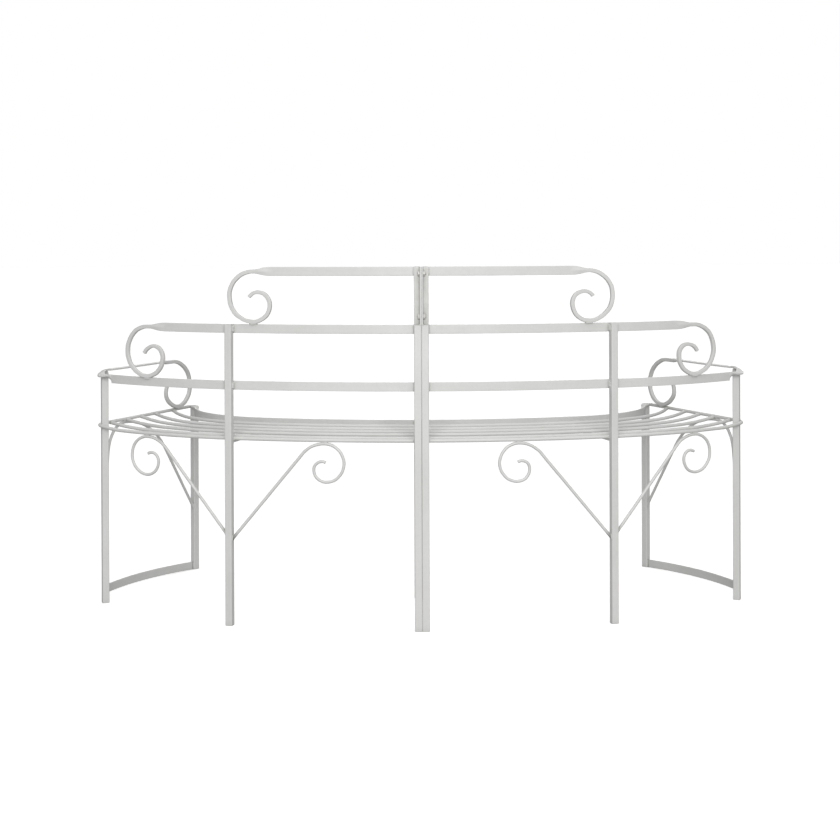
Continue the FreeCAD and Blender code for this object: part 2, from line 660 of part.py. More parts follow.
# distance from the mid post to the front rail along the post's own direction
lo, hi = 100.0, 500.0
fc = (0.0, FY + FR1)
for _ in range(60):
    m = (lo + hi) / 2
    q = (mid_in[0] + mdir[0] * m, mid_in[1] + mdir[1] * m)
    if math.dist(q, fc) > FR1 + BT / 2:
        lo = m
    else:
        hi = m
b = doc.addObject("Part::Box", "mid_bearer")
b.setExpression("Length", cell("bearer_side"))
b.Width = lo
b.setExpression("Height", cell("bearer_tall"))
r = Rotation(Vector(0, 0, 1), MPA)
b.Placement = Placement(Vector(mid_in[0], mid_in[1] + YB, bz) - r.multVec(Vector(BS / 2, 0, 0)), r)
both(b, "mid_seat_bearer")
b = doc.addObject("Part::Box", "centre_bearer")
b.setExpression("Length", cell("bearer_side"))
b.setExpression("Width", cell("front_rail_y") + " - " + cell("bar_thick") + " / 2 - " + cell("tube_side"))
b.setExpression("Height", cell("bearer_tall"))
b.Placement = Placement(Vector(G + T / 2 - BS / 2, YB, bz), Rotation())
both(b, "centre_seat_bearer")


# ---------------------------------------------------------------- scroll braces on the mid posts
def scroll_brace(name, azimuth, start, foot_z, slope, top_u, top_z, radii, tip_turn):
    """Straight rod from the post that rolls over under the rim rod into a scroll."""
    s, c = math.sin(rad(slope)), math.cos(rad(slope))
    # first bend radius so that the straight run starts on the post face
    ra = (foot_z + top_u * math.tan(rad(slope)) - top_z) / (s * math.tan(rad(slope)) - (1 - c))
    u0, z0 = top_u - ra * s, top_z - ra * (1 - c)
    p = Path(0, foot_z, slope)
    p.line(math.dist((0, foot_z), (u0, z0)))
    p.arc(ra, -slope)
    for r_ in radii[:-1]:
        p.arc(r_, -90)
    p.arc(radii[-1], -tip_turn)
    print(name, "first bend", round(ra, 1), "tip", round(p.x, 1), round(p.y, 1))
    sk_ = flat_sketch(name + "_line", centre_geometry(p), upright(start[0], start[1], azimuth))
    d = sk_.Placement.Rotation.multVec(Vector(c, s, 0))
    return rod(name, "brace_dia", sk_, sk_.Placement.multVec(Vector(0, foot_z, 0)), d)


side_in = (mid_post[0] - T / 2 * math.cos(rad(MPA)), mid_post[1] - T / 2 * math.sin(rad(MPA)))
side_out = (mid_post[0] + T / 2 * math.cos(rad(MPA)), mid_post[1] + T / 2 * math.sin(rad(MPA)))
BD = size("brace_dia")
top_b = ZR - RD / 2 - BD / 2


def rim_at(x):
    r, c = (R1 - rim_in, C1) if x < P1[0] else (R2 - rim_in, C2)
    return c[1] - math.sqrt(r * r - (x - c[0]) ** 2) + YB


tx = 213.1
az = math.degrees(math.atan2(rim_at(tx) - side_in[1], tx - side_in[0]))
ub = math.dist((tx, rim_at(tx)), side_in)
inner = scroll_brace("inner_brace", az, side_in, 192.6, 50.2, ub, top_b, [43.5, 40.5, 27, 18, 15], 35)
tool = post_tool("cope_inner", mid_post[0], mid_post[1], MPA)
both(cut("inner_scroll_brace", inner, tool), "inner_scroll_brace")
tx = 624.2
az = math.degrees(math.atan2(rim_at(tx) - side_out[1], tx - side_out[0]))
ub = math.dist((tx, rim_at(tx)), side_out)
outer = scroll_brace("outer_brace", az, side_out, 203.0, 47.4, ub, top_b, [43.5, 43.0, 32, 19, 16], 40)
tool = post_tool("cope_outer", mid_post[0], mid_post[1], MPA)
both(cut("outer_scroll_brace", outer, tool), "outer_scroll_brace")

# ---------------------------------------------------------------- arch braces at the ends
apex_z = ZE - RD / 2 - BD / 2
meet = end_point(100.0, rim_out)                  # both meet here under the end rod
az_back = math.degrees(math.atan2(meet[1] - end_post[1], meet[0] - end_post[0]))
reach_back = math.dist(meet, end_post)
p = Path(5.0, 276.0, 82.0)
rb_arch = 75.0
p.line((apex_z - 276.0 - rb_arch * (1 - math.cos(rad(82.0)))) / math.sin(rad(82.0))).arc(rb_arch, -82.0)
p.line(reach_back - 0.2 - p.x)
sk = flat_sketch("arch_back_line", centre_geometry(p), upright(end_post[0], end_post[1], az_back))
d = sk.Placement.Rotation.multVec(Vector(math.cos(rad(82)), math.sin(rad(82)), 0))
arch = rod("arch_back", "brace_dia", sk, sk.Placement.multVec(Vector(5.0, 276.0, 0)), d)
both(cut("end_arch_brace_back", arch, post_tool("cope_arch_back", end_post[0], end_post[1], size("end_post_turn"))), "end_arch_brace_back")
az_front = math.degrees(math.atan2(meet[1] - leg[1], meet[0] - leg[0]))
reach_front = math.dist(meet, leg)
rf, slope = 210.0, 53.4
sx, sz = reach_front - rf * math.sin(rad(slope)), apex_z - rf * (1 - math.cos(rad(slope)))
run = (sx - 3.0) / math.cos(rad(slope))
p = Path(3.0, sz - run * math.sin(rad(slope)), slope)
p.line(run).arc(rf, -slope)
print("front arch foot level", round(p.segs[0][1][1], 1))
sk = flat_sketch("arch_front_line", centre_geometry(p), upright(leg[0], leg[1], az_front))
d = sk.Placement.Rotation.multVec(Vector(math.cos(rad(slope)), math.sin(rad(slope)), 0))
arch = rod("arch_front", "brace_dia", sk, sk.Placement.multVec(Vector(3.0, p.segs[0][1][1], 0)), d)
both(cut("end_arch_brace_front", arch, post_tool("cope_arch_front", leg[0], leg[1], size("front_leg_turn"))), "end_arch_brace_front")

# ---------------------------------------------------------------- end stretchers: bowed flat bar
bow = size("stretcher_bow")
s_long = END_LONG - 8.0
srad = (s_long * s_long / 4 + bow * bow) / (2 * bow)
half_a = math.degrees(math.asin(s_long / 2 / srad))
p = Path(4.0, 0.0, -half_a).arc(srad, 2 * half_a)
fall = math.degrees(math.atan2(size("stretcher_rise"), s_long))
rot = Rotation(Vector(ed[0], ed[1], 0), Vector(-en[0], -en[1], 0), Vector(0, 0, 1), "ZXY")
tilt = Rotation(Vector(0, 1, 0), fall)
pl = Placement(Vector(end_post[0], end_post[1], size("stretcher_rise") + 0.3), rot.multiply(tilt))
sk = flat_sketch("stretcher_plan", strip_geometry(p, BT / 2), pl)
st_bar = extrude("stretcher_bar", sk, cell("bar_tall"), pl.Rotation.multVec(Vector(0, 0, 1)))
st_cut = cut("stretcher_coped", st_bar, post_tool("cope_st_a", end_post[0], end_post[1], size("end_post_turn")))
both(cut("end_stretcher", st_cut, post_tool("cope_st_b", leg[0], leg[1], size("front_leg_turn"))), "end_stretcher")

# ---------------------------------------------------------------- bolted angles at the centre
AS, AWL = size("angle_side"), size("angle_wall")
body = doc.addObject("PartDesign::Body", "upper_angle")
sk = body.newObject("Sketcher::SketchObject", "angle_profile")
plane = [f for f in body.Origin.OriginFeatures if f.Role == "XY_Plane"][0]
sk.AttachmentSupport = [(plane, "")]
sk.MapMode = "FlatFace"
pts = [(0, -AS), (AWL, -AS), (AWL, -AWL), (AS, -AWL), (AS, 0), (0, 0)]
sk.addGeometry([Part.LineSegment(Vector(*pts[i], 0), Vector(*pts[(i + 1) % 6], 0)) for i in range(6)], False)
doc.recompute()
pad = body.newObject("PartDesign::Pad", "angle_pad")
pad.Profile = sk
pad.setExpression("Length", cell("top_rail_top") + " - " + cell("centre_post_top"))
doc.recompute()
sk2 = body.newObject("Sketcher::SketchObject", "angle_holes")
plane = [f for f in body.Origin.OriginFeatures if f.Role == "YZ_Plane"][0]
sk2.AttachmentSupport = [(plane, "")]
sk2.MapMode = "FlatFace"
by = -(AS + AWL) / 2 - 0.2                       # bolt line in the free width of the flange
zb = size("centre_post_top")
for name in ("bolt_low", "bolt_high"):
    sk2.addGeometry(Part.Circle(Vector(by, size(name) - zb, 0), Vector(0, 0, 1), size("bolt_hole") / 2), False)
doc.recompute()
before = pad.Shape.Volume
pocket = body.newObject("PartDesign::Pocket", "angle_bores")
pocket.Profile = sk2
pocket.Type = "ThroughAll"
pocket.Midplane = True
body.Tip = pocket
doc.recompute()
print("angle holes cut", round(before - pocket.Shape.Volume, 1))
AG = size("angle_gap")
body.Placement = Placement(Vector(AG, YB, zb), Rotation())
body.setExpression("Placement.Base.z", cell("centre_post_top"))
both(body, "centre_upper_angle")

bolts, nuts = [], []
for i, name in enumerate(("bolt_low", "bolt_high")):
    z = size(name)
    y = YB + by
    x_axis = Rotation(Vector(0, 0, 1), Vector(1, 0, 0))
    face = AG + AWL
    hh, nh = size("head_high"), size("nut_high")
    shank = doc.addObject("Part::Cylinder", "shank_%d" % i)
    shank.setExpression("Radius", cell("bolt_dia") + " / 2")
    shank.Height = 2 * face + nh + 2.0
    shank.Placement = Placement(Vector(-face, y, z), x_axis)
    head = doc.addObject("Part::Prism", "head_%d" % i)
    head.Polygon = 6
    head.setExpression("Circumradius", cell("bolt_flats") + " / 1.7320508")
    head.setExpression("Height", cell("head_high"))
    head.Placement = Placement(Vector(-face - hh, y, z), x_axis)
    bolts.append(fused("bolt_%d" % i, [shank, head]))
    nut = doc.addObject("Part::Prism", "nut_blank_%d" % i)
    nut.Polygon = 6
    nut.setExpression("Circumradius", cell("bolt_flats") + " / 1.7320508")
    nut.setExpression("Height", cell("nut_high"))
    nut.Placement = Placement(Vector(face, y, z), x_axis)
    core = doc.addObject("Part::Cylinder", "nut_core_%d" % i)
    core.setExpression("Radius", cell("bolt_dia") + " / 2")
    core.Height = nh + 2
    core.Placement = Placement(Vector(face - 1, y, z), x_axis)
    nuts.append(cut("nut_%d" % i, nut, core))
for name, group in (("joining_bolts", bolts), ("joining_nuts", nuts)):
    comp = doc.addObject("Part::Compound", name)
    comp.Links = group
    keep(comp, name)

# ---------------------------------------------------------------- check and write
doc.recompute()
bad = [o.Name for o in doc.Objects if "Invalid" in o.State or "Error" in o.State]
if bad:
    raise SystemExit("failed objects: %s" % bad)
os.makedirs("parts", exist_ok=True)
seen = set()
box = FreeCAD.BoundBox()
for obj, name in nodes:
    shape = obj.Shape
    if shape.isNull() or not shape.isValid():
        raise SystemExit("bad shape: " + name)
    if name in seen:
        raise SystemExit("name used twice: " + name)
    seen.add(name)
    solids = len(shape.Solids)
    if solids < 1:
        raise SystemExit("no solid: " + name)
    box.add(shape.optimalBoundingBox(False, False))
    print("%-32s solids %d  volume %.0f  faces %d" % (name, solids, shape.Volume, len(shape.Faces)))
    shape.exportStep("parts/%s.step" % name)
print("nodes", len(nodes), "box", [round(v, 2) for v in (box.XMin, box.XMax, box.YMin, box.YMax, box.ZMin, box.ZMax)])
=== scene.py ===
import bpy
import math
import random
import numpy as np
from mathutils import Matrix, Vector


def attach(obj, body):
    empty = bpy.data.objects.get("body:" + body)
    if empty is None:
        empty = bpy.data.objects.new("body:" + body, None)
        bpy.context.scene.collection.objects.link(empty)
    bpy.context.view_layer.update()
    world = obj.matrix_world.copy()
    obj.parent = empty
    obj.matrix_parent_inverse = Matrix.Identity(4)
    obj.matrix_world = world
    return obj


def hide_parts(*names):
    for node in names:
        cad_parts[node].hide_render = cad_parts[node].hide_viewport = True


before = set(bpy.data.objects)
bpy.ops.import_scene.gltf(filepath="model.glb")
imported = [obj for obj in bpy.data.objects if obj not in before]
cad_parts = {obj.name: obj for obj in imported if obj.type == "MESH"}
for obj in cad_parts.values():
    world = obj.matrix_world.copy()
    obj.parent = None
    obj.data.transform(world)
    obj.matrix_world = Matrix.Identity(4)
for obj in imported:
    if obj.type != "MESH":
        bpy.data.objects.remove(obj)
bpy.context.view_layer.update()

# Curved garden bench in two mirrored halves. Lengths below are millimetres in
# the frame of the model (+Z up, +X to the right seen from behind the back, +Y
# towards the side the sitter faces) and become metres when a mesh is made.

# ------------------------------------------------------------------ sizes
T, WALL, TUBE_IN = 16.0, 1.2, 0.8
G, AG, BT, BH = 0.5, 0.1, 4.0, 20.0
YB = -317.2
R1, A1, R2 = 1500.0, 15.5, 830.0
ZR, RD, BD = 412.5, 8.0, 7.0
PI = math.pi


def rad(a):
    return math.radians(a)


def arr(*a):
    return np.array(a, float)


UP = arr(0, 0, 1)


def unit(v):
    return v / np.linalg.norm(v)


# ------------------------------------------------------------------ paths
class Path:
    """Tangent lines and arcs in a plane; + turns left."""

    def __init__(self, x, y, heading):
        self.x, self.y, self.h = x, y, heading
        self.segs = []

    def line(self, length):
        x1 = self.x + length * math.cos(rad(self.h))
        y1 = self.y + length * math.sin(rad(self.h))
        self.segs.append(("L", (self.x, self.y), (x1, y1), self.h, self.h, 0.0, None))
        self.x, self.y = x1, y1
        return self

    def arc(self, radius, turn):
        side = 1.0 if turn > 0 else -1.0
        cx = self.x - side * radius * math.sin(rad(self.h))
        cy = self.y + side * radius * math.cos(rad(self.h))
        h1 = self.h + turn
        x1 = cx + side * radius * math.sin(rad(h1))
        y1 = cy - side * radius * math.cos(rad(h1))
        self.segs.append(("A", (self.x, self.y), (x1, y1), self.h, h1, side * radius, (cx, cy)))
        self.x, self.y, self.h = x1, y1, h1
        return self

    def samples(self, tol=0.02, widest=5.0, longest=30.0):
        """Points (x, y, heading in degrees) along the path."""
        out = []
        for kind, a, b, h0, h1, r, c in self.segs:
            if kind == "L":
                n = max(1, int(math.ceil(math.dist(a, b) / longest)))
                pts = [(a[0] + (b[0] - a[0]) * i / n, a[1] + (b[1] - a[1]) * i / n, h0) for i in range(n + 1)]
            else:
                step = min(2 * math.degrees(math.acos(1 - tol / abs(r))), widest)
                n = max(2, int(math.ceil(abs(h1 - h0) / step)))
                side = 1.0 if r > 0 else -1.0
                pts = []
                for i in range(n + 1):
                    h = h0 + (h1 - h0) * i / n
                    pts.append((c[0] + side * abs(r) * math.sin(rad(h)), c[1] - side * abs(r) * math.cos(rad(h)), h))
            out += pts if not out else pts[1:]
        return out


# A frame is (point, tangent, a axis, b axis) with a x b = tangent.
def turned(f, degrees):
    p, t, a, b = f
    c, s = math.cos(rad(degrees)), math.sin(rad(degrees))
    return (p, t, a * c + np.cross(t, a) * s, b * c + np.cross(t, b) * s)


def plan_frames(samples, z):
    out = []
    for x, y, h in samples:
        c, s = math.cos(rad(h)), math.sin(rad(h))
        out.append((arr(x, y, z), arr(c, s, 0), arr(-s, c, 0), UP.copy()))
    return out


def upright_frames(samples, x0, y0, azimuth):
    """Path in the upright plane through (x0, y0): its x runs level, its y up.
    The a axis is level, towards the seat; the b axis is the path's left."""
    ca, sa = math.cos(rad(azimuth)), math.sin(rad(azimuth))
    xd, nd = arr(ca, sa, 0), arr(sa, -ca, 0)
    out = []
    for u, v, h in samples:
        c, s = math.cos(rad(h)), math.sin(rad(h))
        out.append((arr(x0, y0, 0) + xd * u + UP * v, xd * c + UP * s, -nd, UP * c - xd * s))
    return out


def space_frames(points):
    """Frames along a 3-D polyline, carried without twist."""
    pts = [np.asarray(p, float) for p in points]
    tan = []
    for i in range(len(pts)):
        tan.append(unit(pts[min(i + 1, len(pts) - 1)] - pts[max(i - 1, 0)]))
    ref = UP if abs(tan[0][2]) < 0.9 else arr(1, 0, 0)
    b = unit(ref - tan[0] * np.dot(ref, tan[0]))
    out = []
    for p, t in zip(pts, tan):
        b = unit(b - t * np.dot(b, t))
        out.append((p, t, np.cross(b, t), b))
    return out


# ------------------------------------------------------------------ sections
def rounded(w, h, r, n=4, groove=0.0, across=4):
    """Outline of a w x h bar with rounded corners; groove sinks the middle of
    the two faces that look along the a axis."""
    r = max(0.05, min(r, w / 2 - 0.02, h / 2 - 0.02))
    pts = []

    def corner(cx, cy, a0):
        for i in range(n + 1):
            a = rad(a0 + 90.0 * i / n)
            pts.append((cx + r * math.cos(a), cy + r * math.sin(a)))

    def face(side):
        flat = h / 2 - r
        for i in range(1, 2 * across):
            u = -1 + i / float(across)
            b = flat * u * side
            pts.append((side * (w / 2 - groove * (1 - abs(u)) ** 1.25), b))

    corner(w / 2 - r, h / 2 - r, 0)
    corner(-w / 2 + r, h / 2 - r, 90)
    if across:
        face(-1)
    corner(-w / 2 + r, -h / 2 + r, 180)
    corner(w / 2 - r, -h / 2 + r, 270)
    if across:
        face(1)
    return np.array(pts)


def disc(d, n=22):
    return np.array([(d / 2 * math.cos(2 * PI * i / n), d / 2 * math.sin(2 * PI * i / n)) for i in range(n)])


def inward(sec):
    """Unit inward direction at each corner of an outline."""
    a, b = np.roll(sec, 1, 0), np.roll(sec, -1, 0)
    e1, e2 = sec - a, b - sec
    e1 = e1 / np.linalg.norm(e1, axis=1)[:, None]
    e2 = e2 / np.linalg.norm(e2, axis=1)[:, None]
    n = np.stack([-(e1[:, 1] + e2[:, 1]), e1[:, 0] + e2[:, 0]], 1)
    return n / np.linalg.norm(n, axis=1)[:, None]


# ------------------------------------------------------------------ meshes
class Shells:
    """Closed shells of one piece."""

    def __init__(self, seed):
        self.v, self.f = [], []
        self.rng = random.Random(seed)

    def ring(self, pts):
        i = len(self.v)
        self.v += [tuple(p) for p in pts]
        return list(range(i, i + len(pts)))

    def bridge(self, a, b):
        n = len(a)
        for i in range(n):
            j = (i + 1) % n
            self.f.append((a[i], a[j], b[j], b[i]))

    def place(self, f, sec):
        p, t, a, b = f
        return p + sec[:, :1] * a + sec[:, 1:] * b

    def sweep(self, frames, secs, e0=0.5, e1=0.5, steps=3, cut0=None, cut1=None):
        """Solid bar along frames. e0 and e1 round its ends over; cut0 and cut1
        (point, normal) end it on a plane instead."""
        if isinstance(secs, np.ndarray):
            secs = [secs] * len(frames)
        rings = []
        first, last = 0, len(frames)
        pts = [self.place(f, s) for f, s in zip(frames, secs)]
        if cut0 is not None:
            pts[0] = self.on_plane(pts[0], frames[0][1], cut0)
        if cut1 is not None:
            pts[-1] = self.on_plane(pts[-1], frames[-1][1], cut1)
        if cut0 is None and e0 > 0:
            p, t, a, b = frames[0]
            inn = inward(secs[0])
            for k in range(steps):
                q = PI / 2 * k / steps
                s = secs[0] + inn * e0 * (1 - math.sin(q))
                rings.append(self.place((p + t * e0 * (1 - math.cos(q)), t, a, b), s))
            pts[0] = self.place((p + t * e0, t, a, b), secs[0])
        tail = []
        if cut1 is None and e1 > 0:
            p, t, a, b = frames[-1]
            inn = inward(secs[-1])
            pts[-1] = self.place((p - t * e1, t, a, b), secs[-1])
            for k in range(steps - 1, -1, -1):
                q = PI / 2 * k / steps
                s = secs[-1] + inn * e1 * (1 - math.sin(q))
                tail.append(self.place((p - t * e1 * (1 - math.cos(q)), t, a, b), s))
        rings += pts + tail
        idx = [self.ring(r) for r in rings]
        for a, b in zip(idx[:-1], idx[1:]):
            self.bridge(a, b)
        self.f.append(tuple(reversed(idx[0])))
        self.f.append(tuple(idx[-1]))

    @staticmethod
    def on_plane(pts, t, plane):
        p0, n = plane
        k = ((p0 - pts) @ n) / float(np.dot(t, n))
        return pts + k[:, None] * t

    def tube(self, x, y, turn, z0, z1, side=T, wall=WALL, r_in=TUBE_IN):
        """Square tube standing at (x, y), open at both ends, edges eased."""
        c, s = math.cos(rad(turn)), math.sin(rad(turn))
        a, b = arr(c, s, 0), arr(-s, c, 0)
        outer = rounded(side, side, r_in + wall, 6, across=0)
        inner = rounded(side - 2 * wall, side - 2 * wall, r_in, 6, across=0)
        e = 0.35

        def at(z, sec):
            return self.ring(arr(x, y, z) + sec[:, :1] * a + sec[:, 1:] * b)

        io, ii = inward(outer), inward(inner)
        n = 8
        rows = [at(z0, inner - ii * e), at(z0, outer + io * e), at(z0 + e * 0.3, outer + io * e * 0.3), at(z0 + e, outer)]
        rows += [at(z0 + e + (z1 - z0 - 2 * e) * i / n, outer) for i in range(1, n)]
        rows += [at(z1 - e, outer), at(z1 - e * 0.3, outer + io * e * 0.3), at(z1, outer + io * e), at(z1, inner - ii * e)]
        rows += [at(z1 - e, inner), at(z0 + e, inner)]
        for p, q in zip(rows, rows[1:] + rows[:1]):
            self.bridge(p, q)

    def bead(self, pts, r=1.7, closed=False, n=9):
        """Weld bead: a rippled roll of metal along a line."""
        pts = [np.asarray(p, float) for p in pts]
        if closed:
            pts = pts + [pts[0]]
        seg = [np.linalg.norm(q - p) for p, q in zip(pts[:-1], pts[1:])]
        total = sum(seg)
        if total < 1e-6:
            return
        pitch = 1.9 * self.rng.uniform(0.9, 1.15)
        step = pitch / 5.0
        count = max(6, int(total / step))
        cum = np.concatenate([[0], np.cumsum(seg)])
        P = np.array(pts)
        line = []
        for i in range(count + (0 if closed else 1)):
            d = total * i / count
            line.append(arr(*[np.interp(d, cum, P[:, k]) for k in range(3)]))
        if closed:
            near = line[-1:] + line + line[:1]
            frames = space_frames(near)[1:-1]
        else:
            frames = space_frames(line)
        # slow drift of size and place, so no two beads are alike
        w = [self.rng.uniform(-1, 1) for _ in range(6)]
        base = disc(2.0, n)
        idx = []
        for i, (p, t, a, b) in enumerate(frames):
            d = total * i / count
            u = i / float(count)
            k = 2 * PI * d / pitch
            size = r * (0.93 + 0.09 * math.cos(k) + 0.03 * math.cos(2 * k))
            if closed:
                size *= 1 + 0.06 * (w[0] * math.sin(2 * PI * u) + w[1] * math.cos(4 * PI * u))
                off = a * 0.25 * w[2] * math.sin(2 * PI * u * 2) + b * 0.2 * w[3] * math.cos(2 * PI * u * 3)
            else:
                size *= (1 + 0.10 * w[0] * math.sin(PI * u * 2.2 + w[4])) * (1 - 0.55 * abs(2 * u - 1) ** 6)
                off = a * 0.3 * w[2] * math.sin(PI * u * 3 + w[5]) + b * 0.2 * w[3] * math.cos(PI * u * 2)
            idx.append(self.ring(self.place((p + off * min(1.0, r / 1.5), t, a, b), base * size)))
        for p, q in zip(idx[:-1], idx[1:]):
            self.bridge(p, q)
        if closed:
            self.bridge(idx[-1], idx[0])
        else:
            self.f.append(tuple(reversed(idx[0])))
            self.f.append(tuple(idx[-1]))

    def lathe(self, origin, axis, rows, n=24, shape=None):
        """Turned solid: rows are (along, radius); shape may limit the radius."""
        t = unit(np.asarray(axis, float))
        ref = UP if abs(t[2]) < 0.9 else arr(1, 0, 0)
        b = unit(ref - t * np.dot(ref, t))
        a = np.cross(b, t)
        idx = []
        for z, r in rows:
            pts = []
            for i in range(n):
                q = 2 * PI * i / n
                rr = min(r, shape(q)) if shape else r
                pts.append(origin + t * z + a * rr * math.cos(q) + b * rr * math.sin(q))
            idx.append(self.ring(pts))
        for p, q in zip(idx[:-1], idx[1:]):
            self.bridge(p, q)
        self.f.append(tuple(reversed(idx[0])))
        self.f.append(tuple(idx[-1]))


materials = {}
made = []


def finish_piece(shells, node, side, material):
    """Turns the shells into an object that stands for a node of the model."""
    v = np.array(shells.v)
    faces = shells.f
    if side < 0:
        v = v * arr(-1, 1, 1)
        faces = [tuple(reversed(f)) for f in faces]
    me = bpy.data.meshes.new(node + "_mesh")
    me.from_pydata((v * 0.001).tolist(), [], faces)
    me.validate()
    me.polygons.foreach_set("use_smooth", [True] * len(me.polygons))
    me.update()
    ob = bpy.data.objects.new(node + "_finished", me)
    bpy.context.scene.collection.objects.link(ob)
    ob.data.materials.append(materials[material])
    wn = ob.modifiers.new("even_normals", "WEIGHTED_NORMAL")
    wn.mode = "FACE_AREA_WITH_ANGLE"
    wn.weight = 60
    wn.keep_sharp = True
    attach(ob, "root")
    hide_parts(node)
    made.append(ob)
    return ob


# ------------------------------------------------------------------ materials
def link(tree, a, b):
    tree.links.new(a, b)


def node_of(tree, kind, **values):
    n = tree.nodes.new(kind)
    for k, val in values.items():
        if k in n.inputs:
            n.inputs[k].default_value = val
        else:
            setattr(n, k, val)
    return n


def paint(name, reach, clear, shade_strength):
    """Sprayed and baked off-white coat on steel: satin, faint orange peel,
    slow changes of tone, and painted shade where pieces meet."""
    m = bpy.data.materials.new(name)
    m.use_nodes = True
    t = m.node_tree
    t.nodes.clear()
    out = t.nodes.new("ShaderNodeOutputMaterial")
    bs = t.nodes.new("ShaderNodeBsdfPrincipled")
    link(t, bs.outputs[0], out.inputs["Surface"])
    co = t.nodes.new("ShaderNodeTexCoord")
    pos = co.outputs["Object"]

    # slow tone changes along the metal
    slow = node_of(t, "ShaderNodeTexNoise", Scale=7.0, Detail=3.0, Roughness=0.55)
    link(t, pos, slow.inputs["Vector"])
    tone = t.nodes.new("ShaderNodeValToRGB")
    tone.color_ramp.elements[0].position = 0.32
    tone.color_ramp.elements[0].color = (0.665, 0.668, 0.650, 1)
    tone.color_ramp.elements[1].position = 0.68
    tone.color_ramp.elements[1].color = (0.715, 0.716, 0.708, 1)
    link(t, slow.outputs["Fac"], tone.inputs["Fac"])

    # fine mottling, a few millimetres across
    fine = node_of(t, "ShaderNodeTexNoise", Scale=160.0, Detail=4.0, Roughness=0.6)
    link(t, pos, fine.inputs["Vector"])
    fr = node_of(t, "ShaderNodeMapRange")
    fr.inputs["From Min"].default_value = 0.35
    fr.inputs["From Max"].default_value = 0.70
    fr.inputs["To Min"].default_value = 0.0
    fr.inputs["To Max"].default_value = 0.05
    link(t, fine.outputs["Fac"], fr.inputs["Value"])
    mix1 = node_of(t, "ShaderNodeMix", data_type="RGBA", blend_type="MULTIPLY")
    link(t, fr.outputs["Result"], mix1.inputs[0])
    link(t, tone.outputs["Color"], mix1.inputs[6])
    mix1.inputs[7].default_value = (0.30, 0.31, 0.27, 1)

    # painted shade in the corners where pieces meet: ambient occlusion darkens the coat, in patches
    ao = node_of(t, "ShaderNodeAmbientOcclusion", samples=6)
    ao.inputs["Distance"].default_value = reach
    inv = node_of(t, "ShaderNodeMapRange")
    inv.inputs["From Min"].default_value = 0.25
    inv.inputs["From Max"].default_value = clear
    # how dark the painted shade in the corners gets
    inv.inputs["To Min"].default_value = shade_strength
    inv.inputs["To Max"].default_value = 0.0
    link(t, ao.outputs["AO"], inv.inputs["Value"])
    patch = node_of(t, "ShaderNodeTexNoise", Scale=55.0, Detail=5.0, Roughness=0.65)
    link(t, pos, patch.inputs["Vector"])
    pm = node_of(t, "ShaderNodeMath", operation="MULTIPLY")
    pr = node_of(t, "ShaderNodeMapRange")
    pr.inputs["From Min"].default_value = 0.30
    pr.inputs["From Max"].default_value = 0.65
    pr.inputs["To Min"].default_value = 0.35
    pr.inputs["To Max"].default_value = 1.0
    link(t, patch.outputs["Fac"], pr.inputs["Value"])
    link(t, inv.outputs["Result"], pm.inputs[0])
    link(t, pr.outputs["Result"], pm.inputs[1])
    mix2 = node_of(t, "ShaderNodeMix", data_type="RGBA", blend_type="MIX")
    link(t, pm.outputs[0], mix2.inputs[0])
    link(t, mix1.outputs[2], mix2.inputs[6])
    # colour of the painted shade
    mix2.inputs[7].default_value = (0.35, 0.345, 0.315, 1)

    # rare pin specks of dirt in the coat
    vor = node_of(t, "ShaderNodeTexVoronoi", Scale=95.0)
    link(t, pos, vor.inputs["Vector"])
    sp = node_of(t, "ShaderNodeMapRange")
    sp.inputs["From Min"].default_value = 0.035
    sp.inputs["From Max"].default_value = 0.06
    sp.inputs["To Min"].default_value = 0.35
    sp.inputs["To Max"].default_value = 0.0
    link(t, vor.outputs["Distance"], sp.inputs["Value"])
    mix3 = node_of(t, "ShaderNodeMix", data_type="RGBA", blend_type="MIX")
    link(t, sp.outputs["Result"], mix3.inputs[0])
    link(t, mix2.outputs[2], mix3.inputs[6])
    mix3.inputs[7].default_value = (0.40, 0.38, 0.33, 1)
    link(t, mix3.outputs[2], bs.inputs["Base Color"])

    rr = node_of(t, "ShaderNodeMapRange")
    rr.inputs["From Min"].default_value = 0.3
    rr.inputs["From Max"].default_value = 0.7
    rr.inputs["To Min"].default_value = 0.40
    rr.inputs["To Max"].default_value = 0.56
    link(t, patch.outputs["Fac"], rr.inputs["Value"])
    link(t, rr.outputs["Result"], bs.inputs["Roughness"])

    peel = node_of(t, "ShaderNodeTexNoise", Scale=520.0, Detail=2.0, Roughness=0.5)
    link(t, pos, peel.inputs["Vector"])
    b1 = node_of(t, "ShaderNodeBump", Strength=0.30, Distance=0.00022)
    link(t, peel.outputs["Fac"], b1.inputs["Height"])
    dents = node_of(t, "ShaderNodeTexNoise", Scale=60.0, Detail=3.0, Roughness=0.5)
    link(t, pos, dents.inputs["Vector"])
    b2 = node_of(t, "ShaderNodeBump", Strength=0.22, Distance=0.0012)
    link(t, dents.outputs["Fac"], b2.inputs["Height"])
    link(t, b1.outputs["Normal"], b2.inputs["Normal"])
    link(t, b2.outputs["Normal"], bs.inputs["Normal"])
    return m


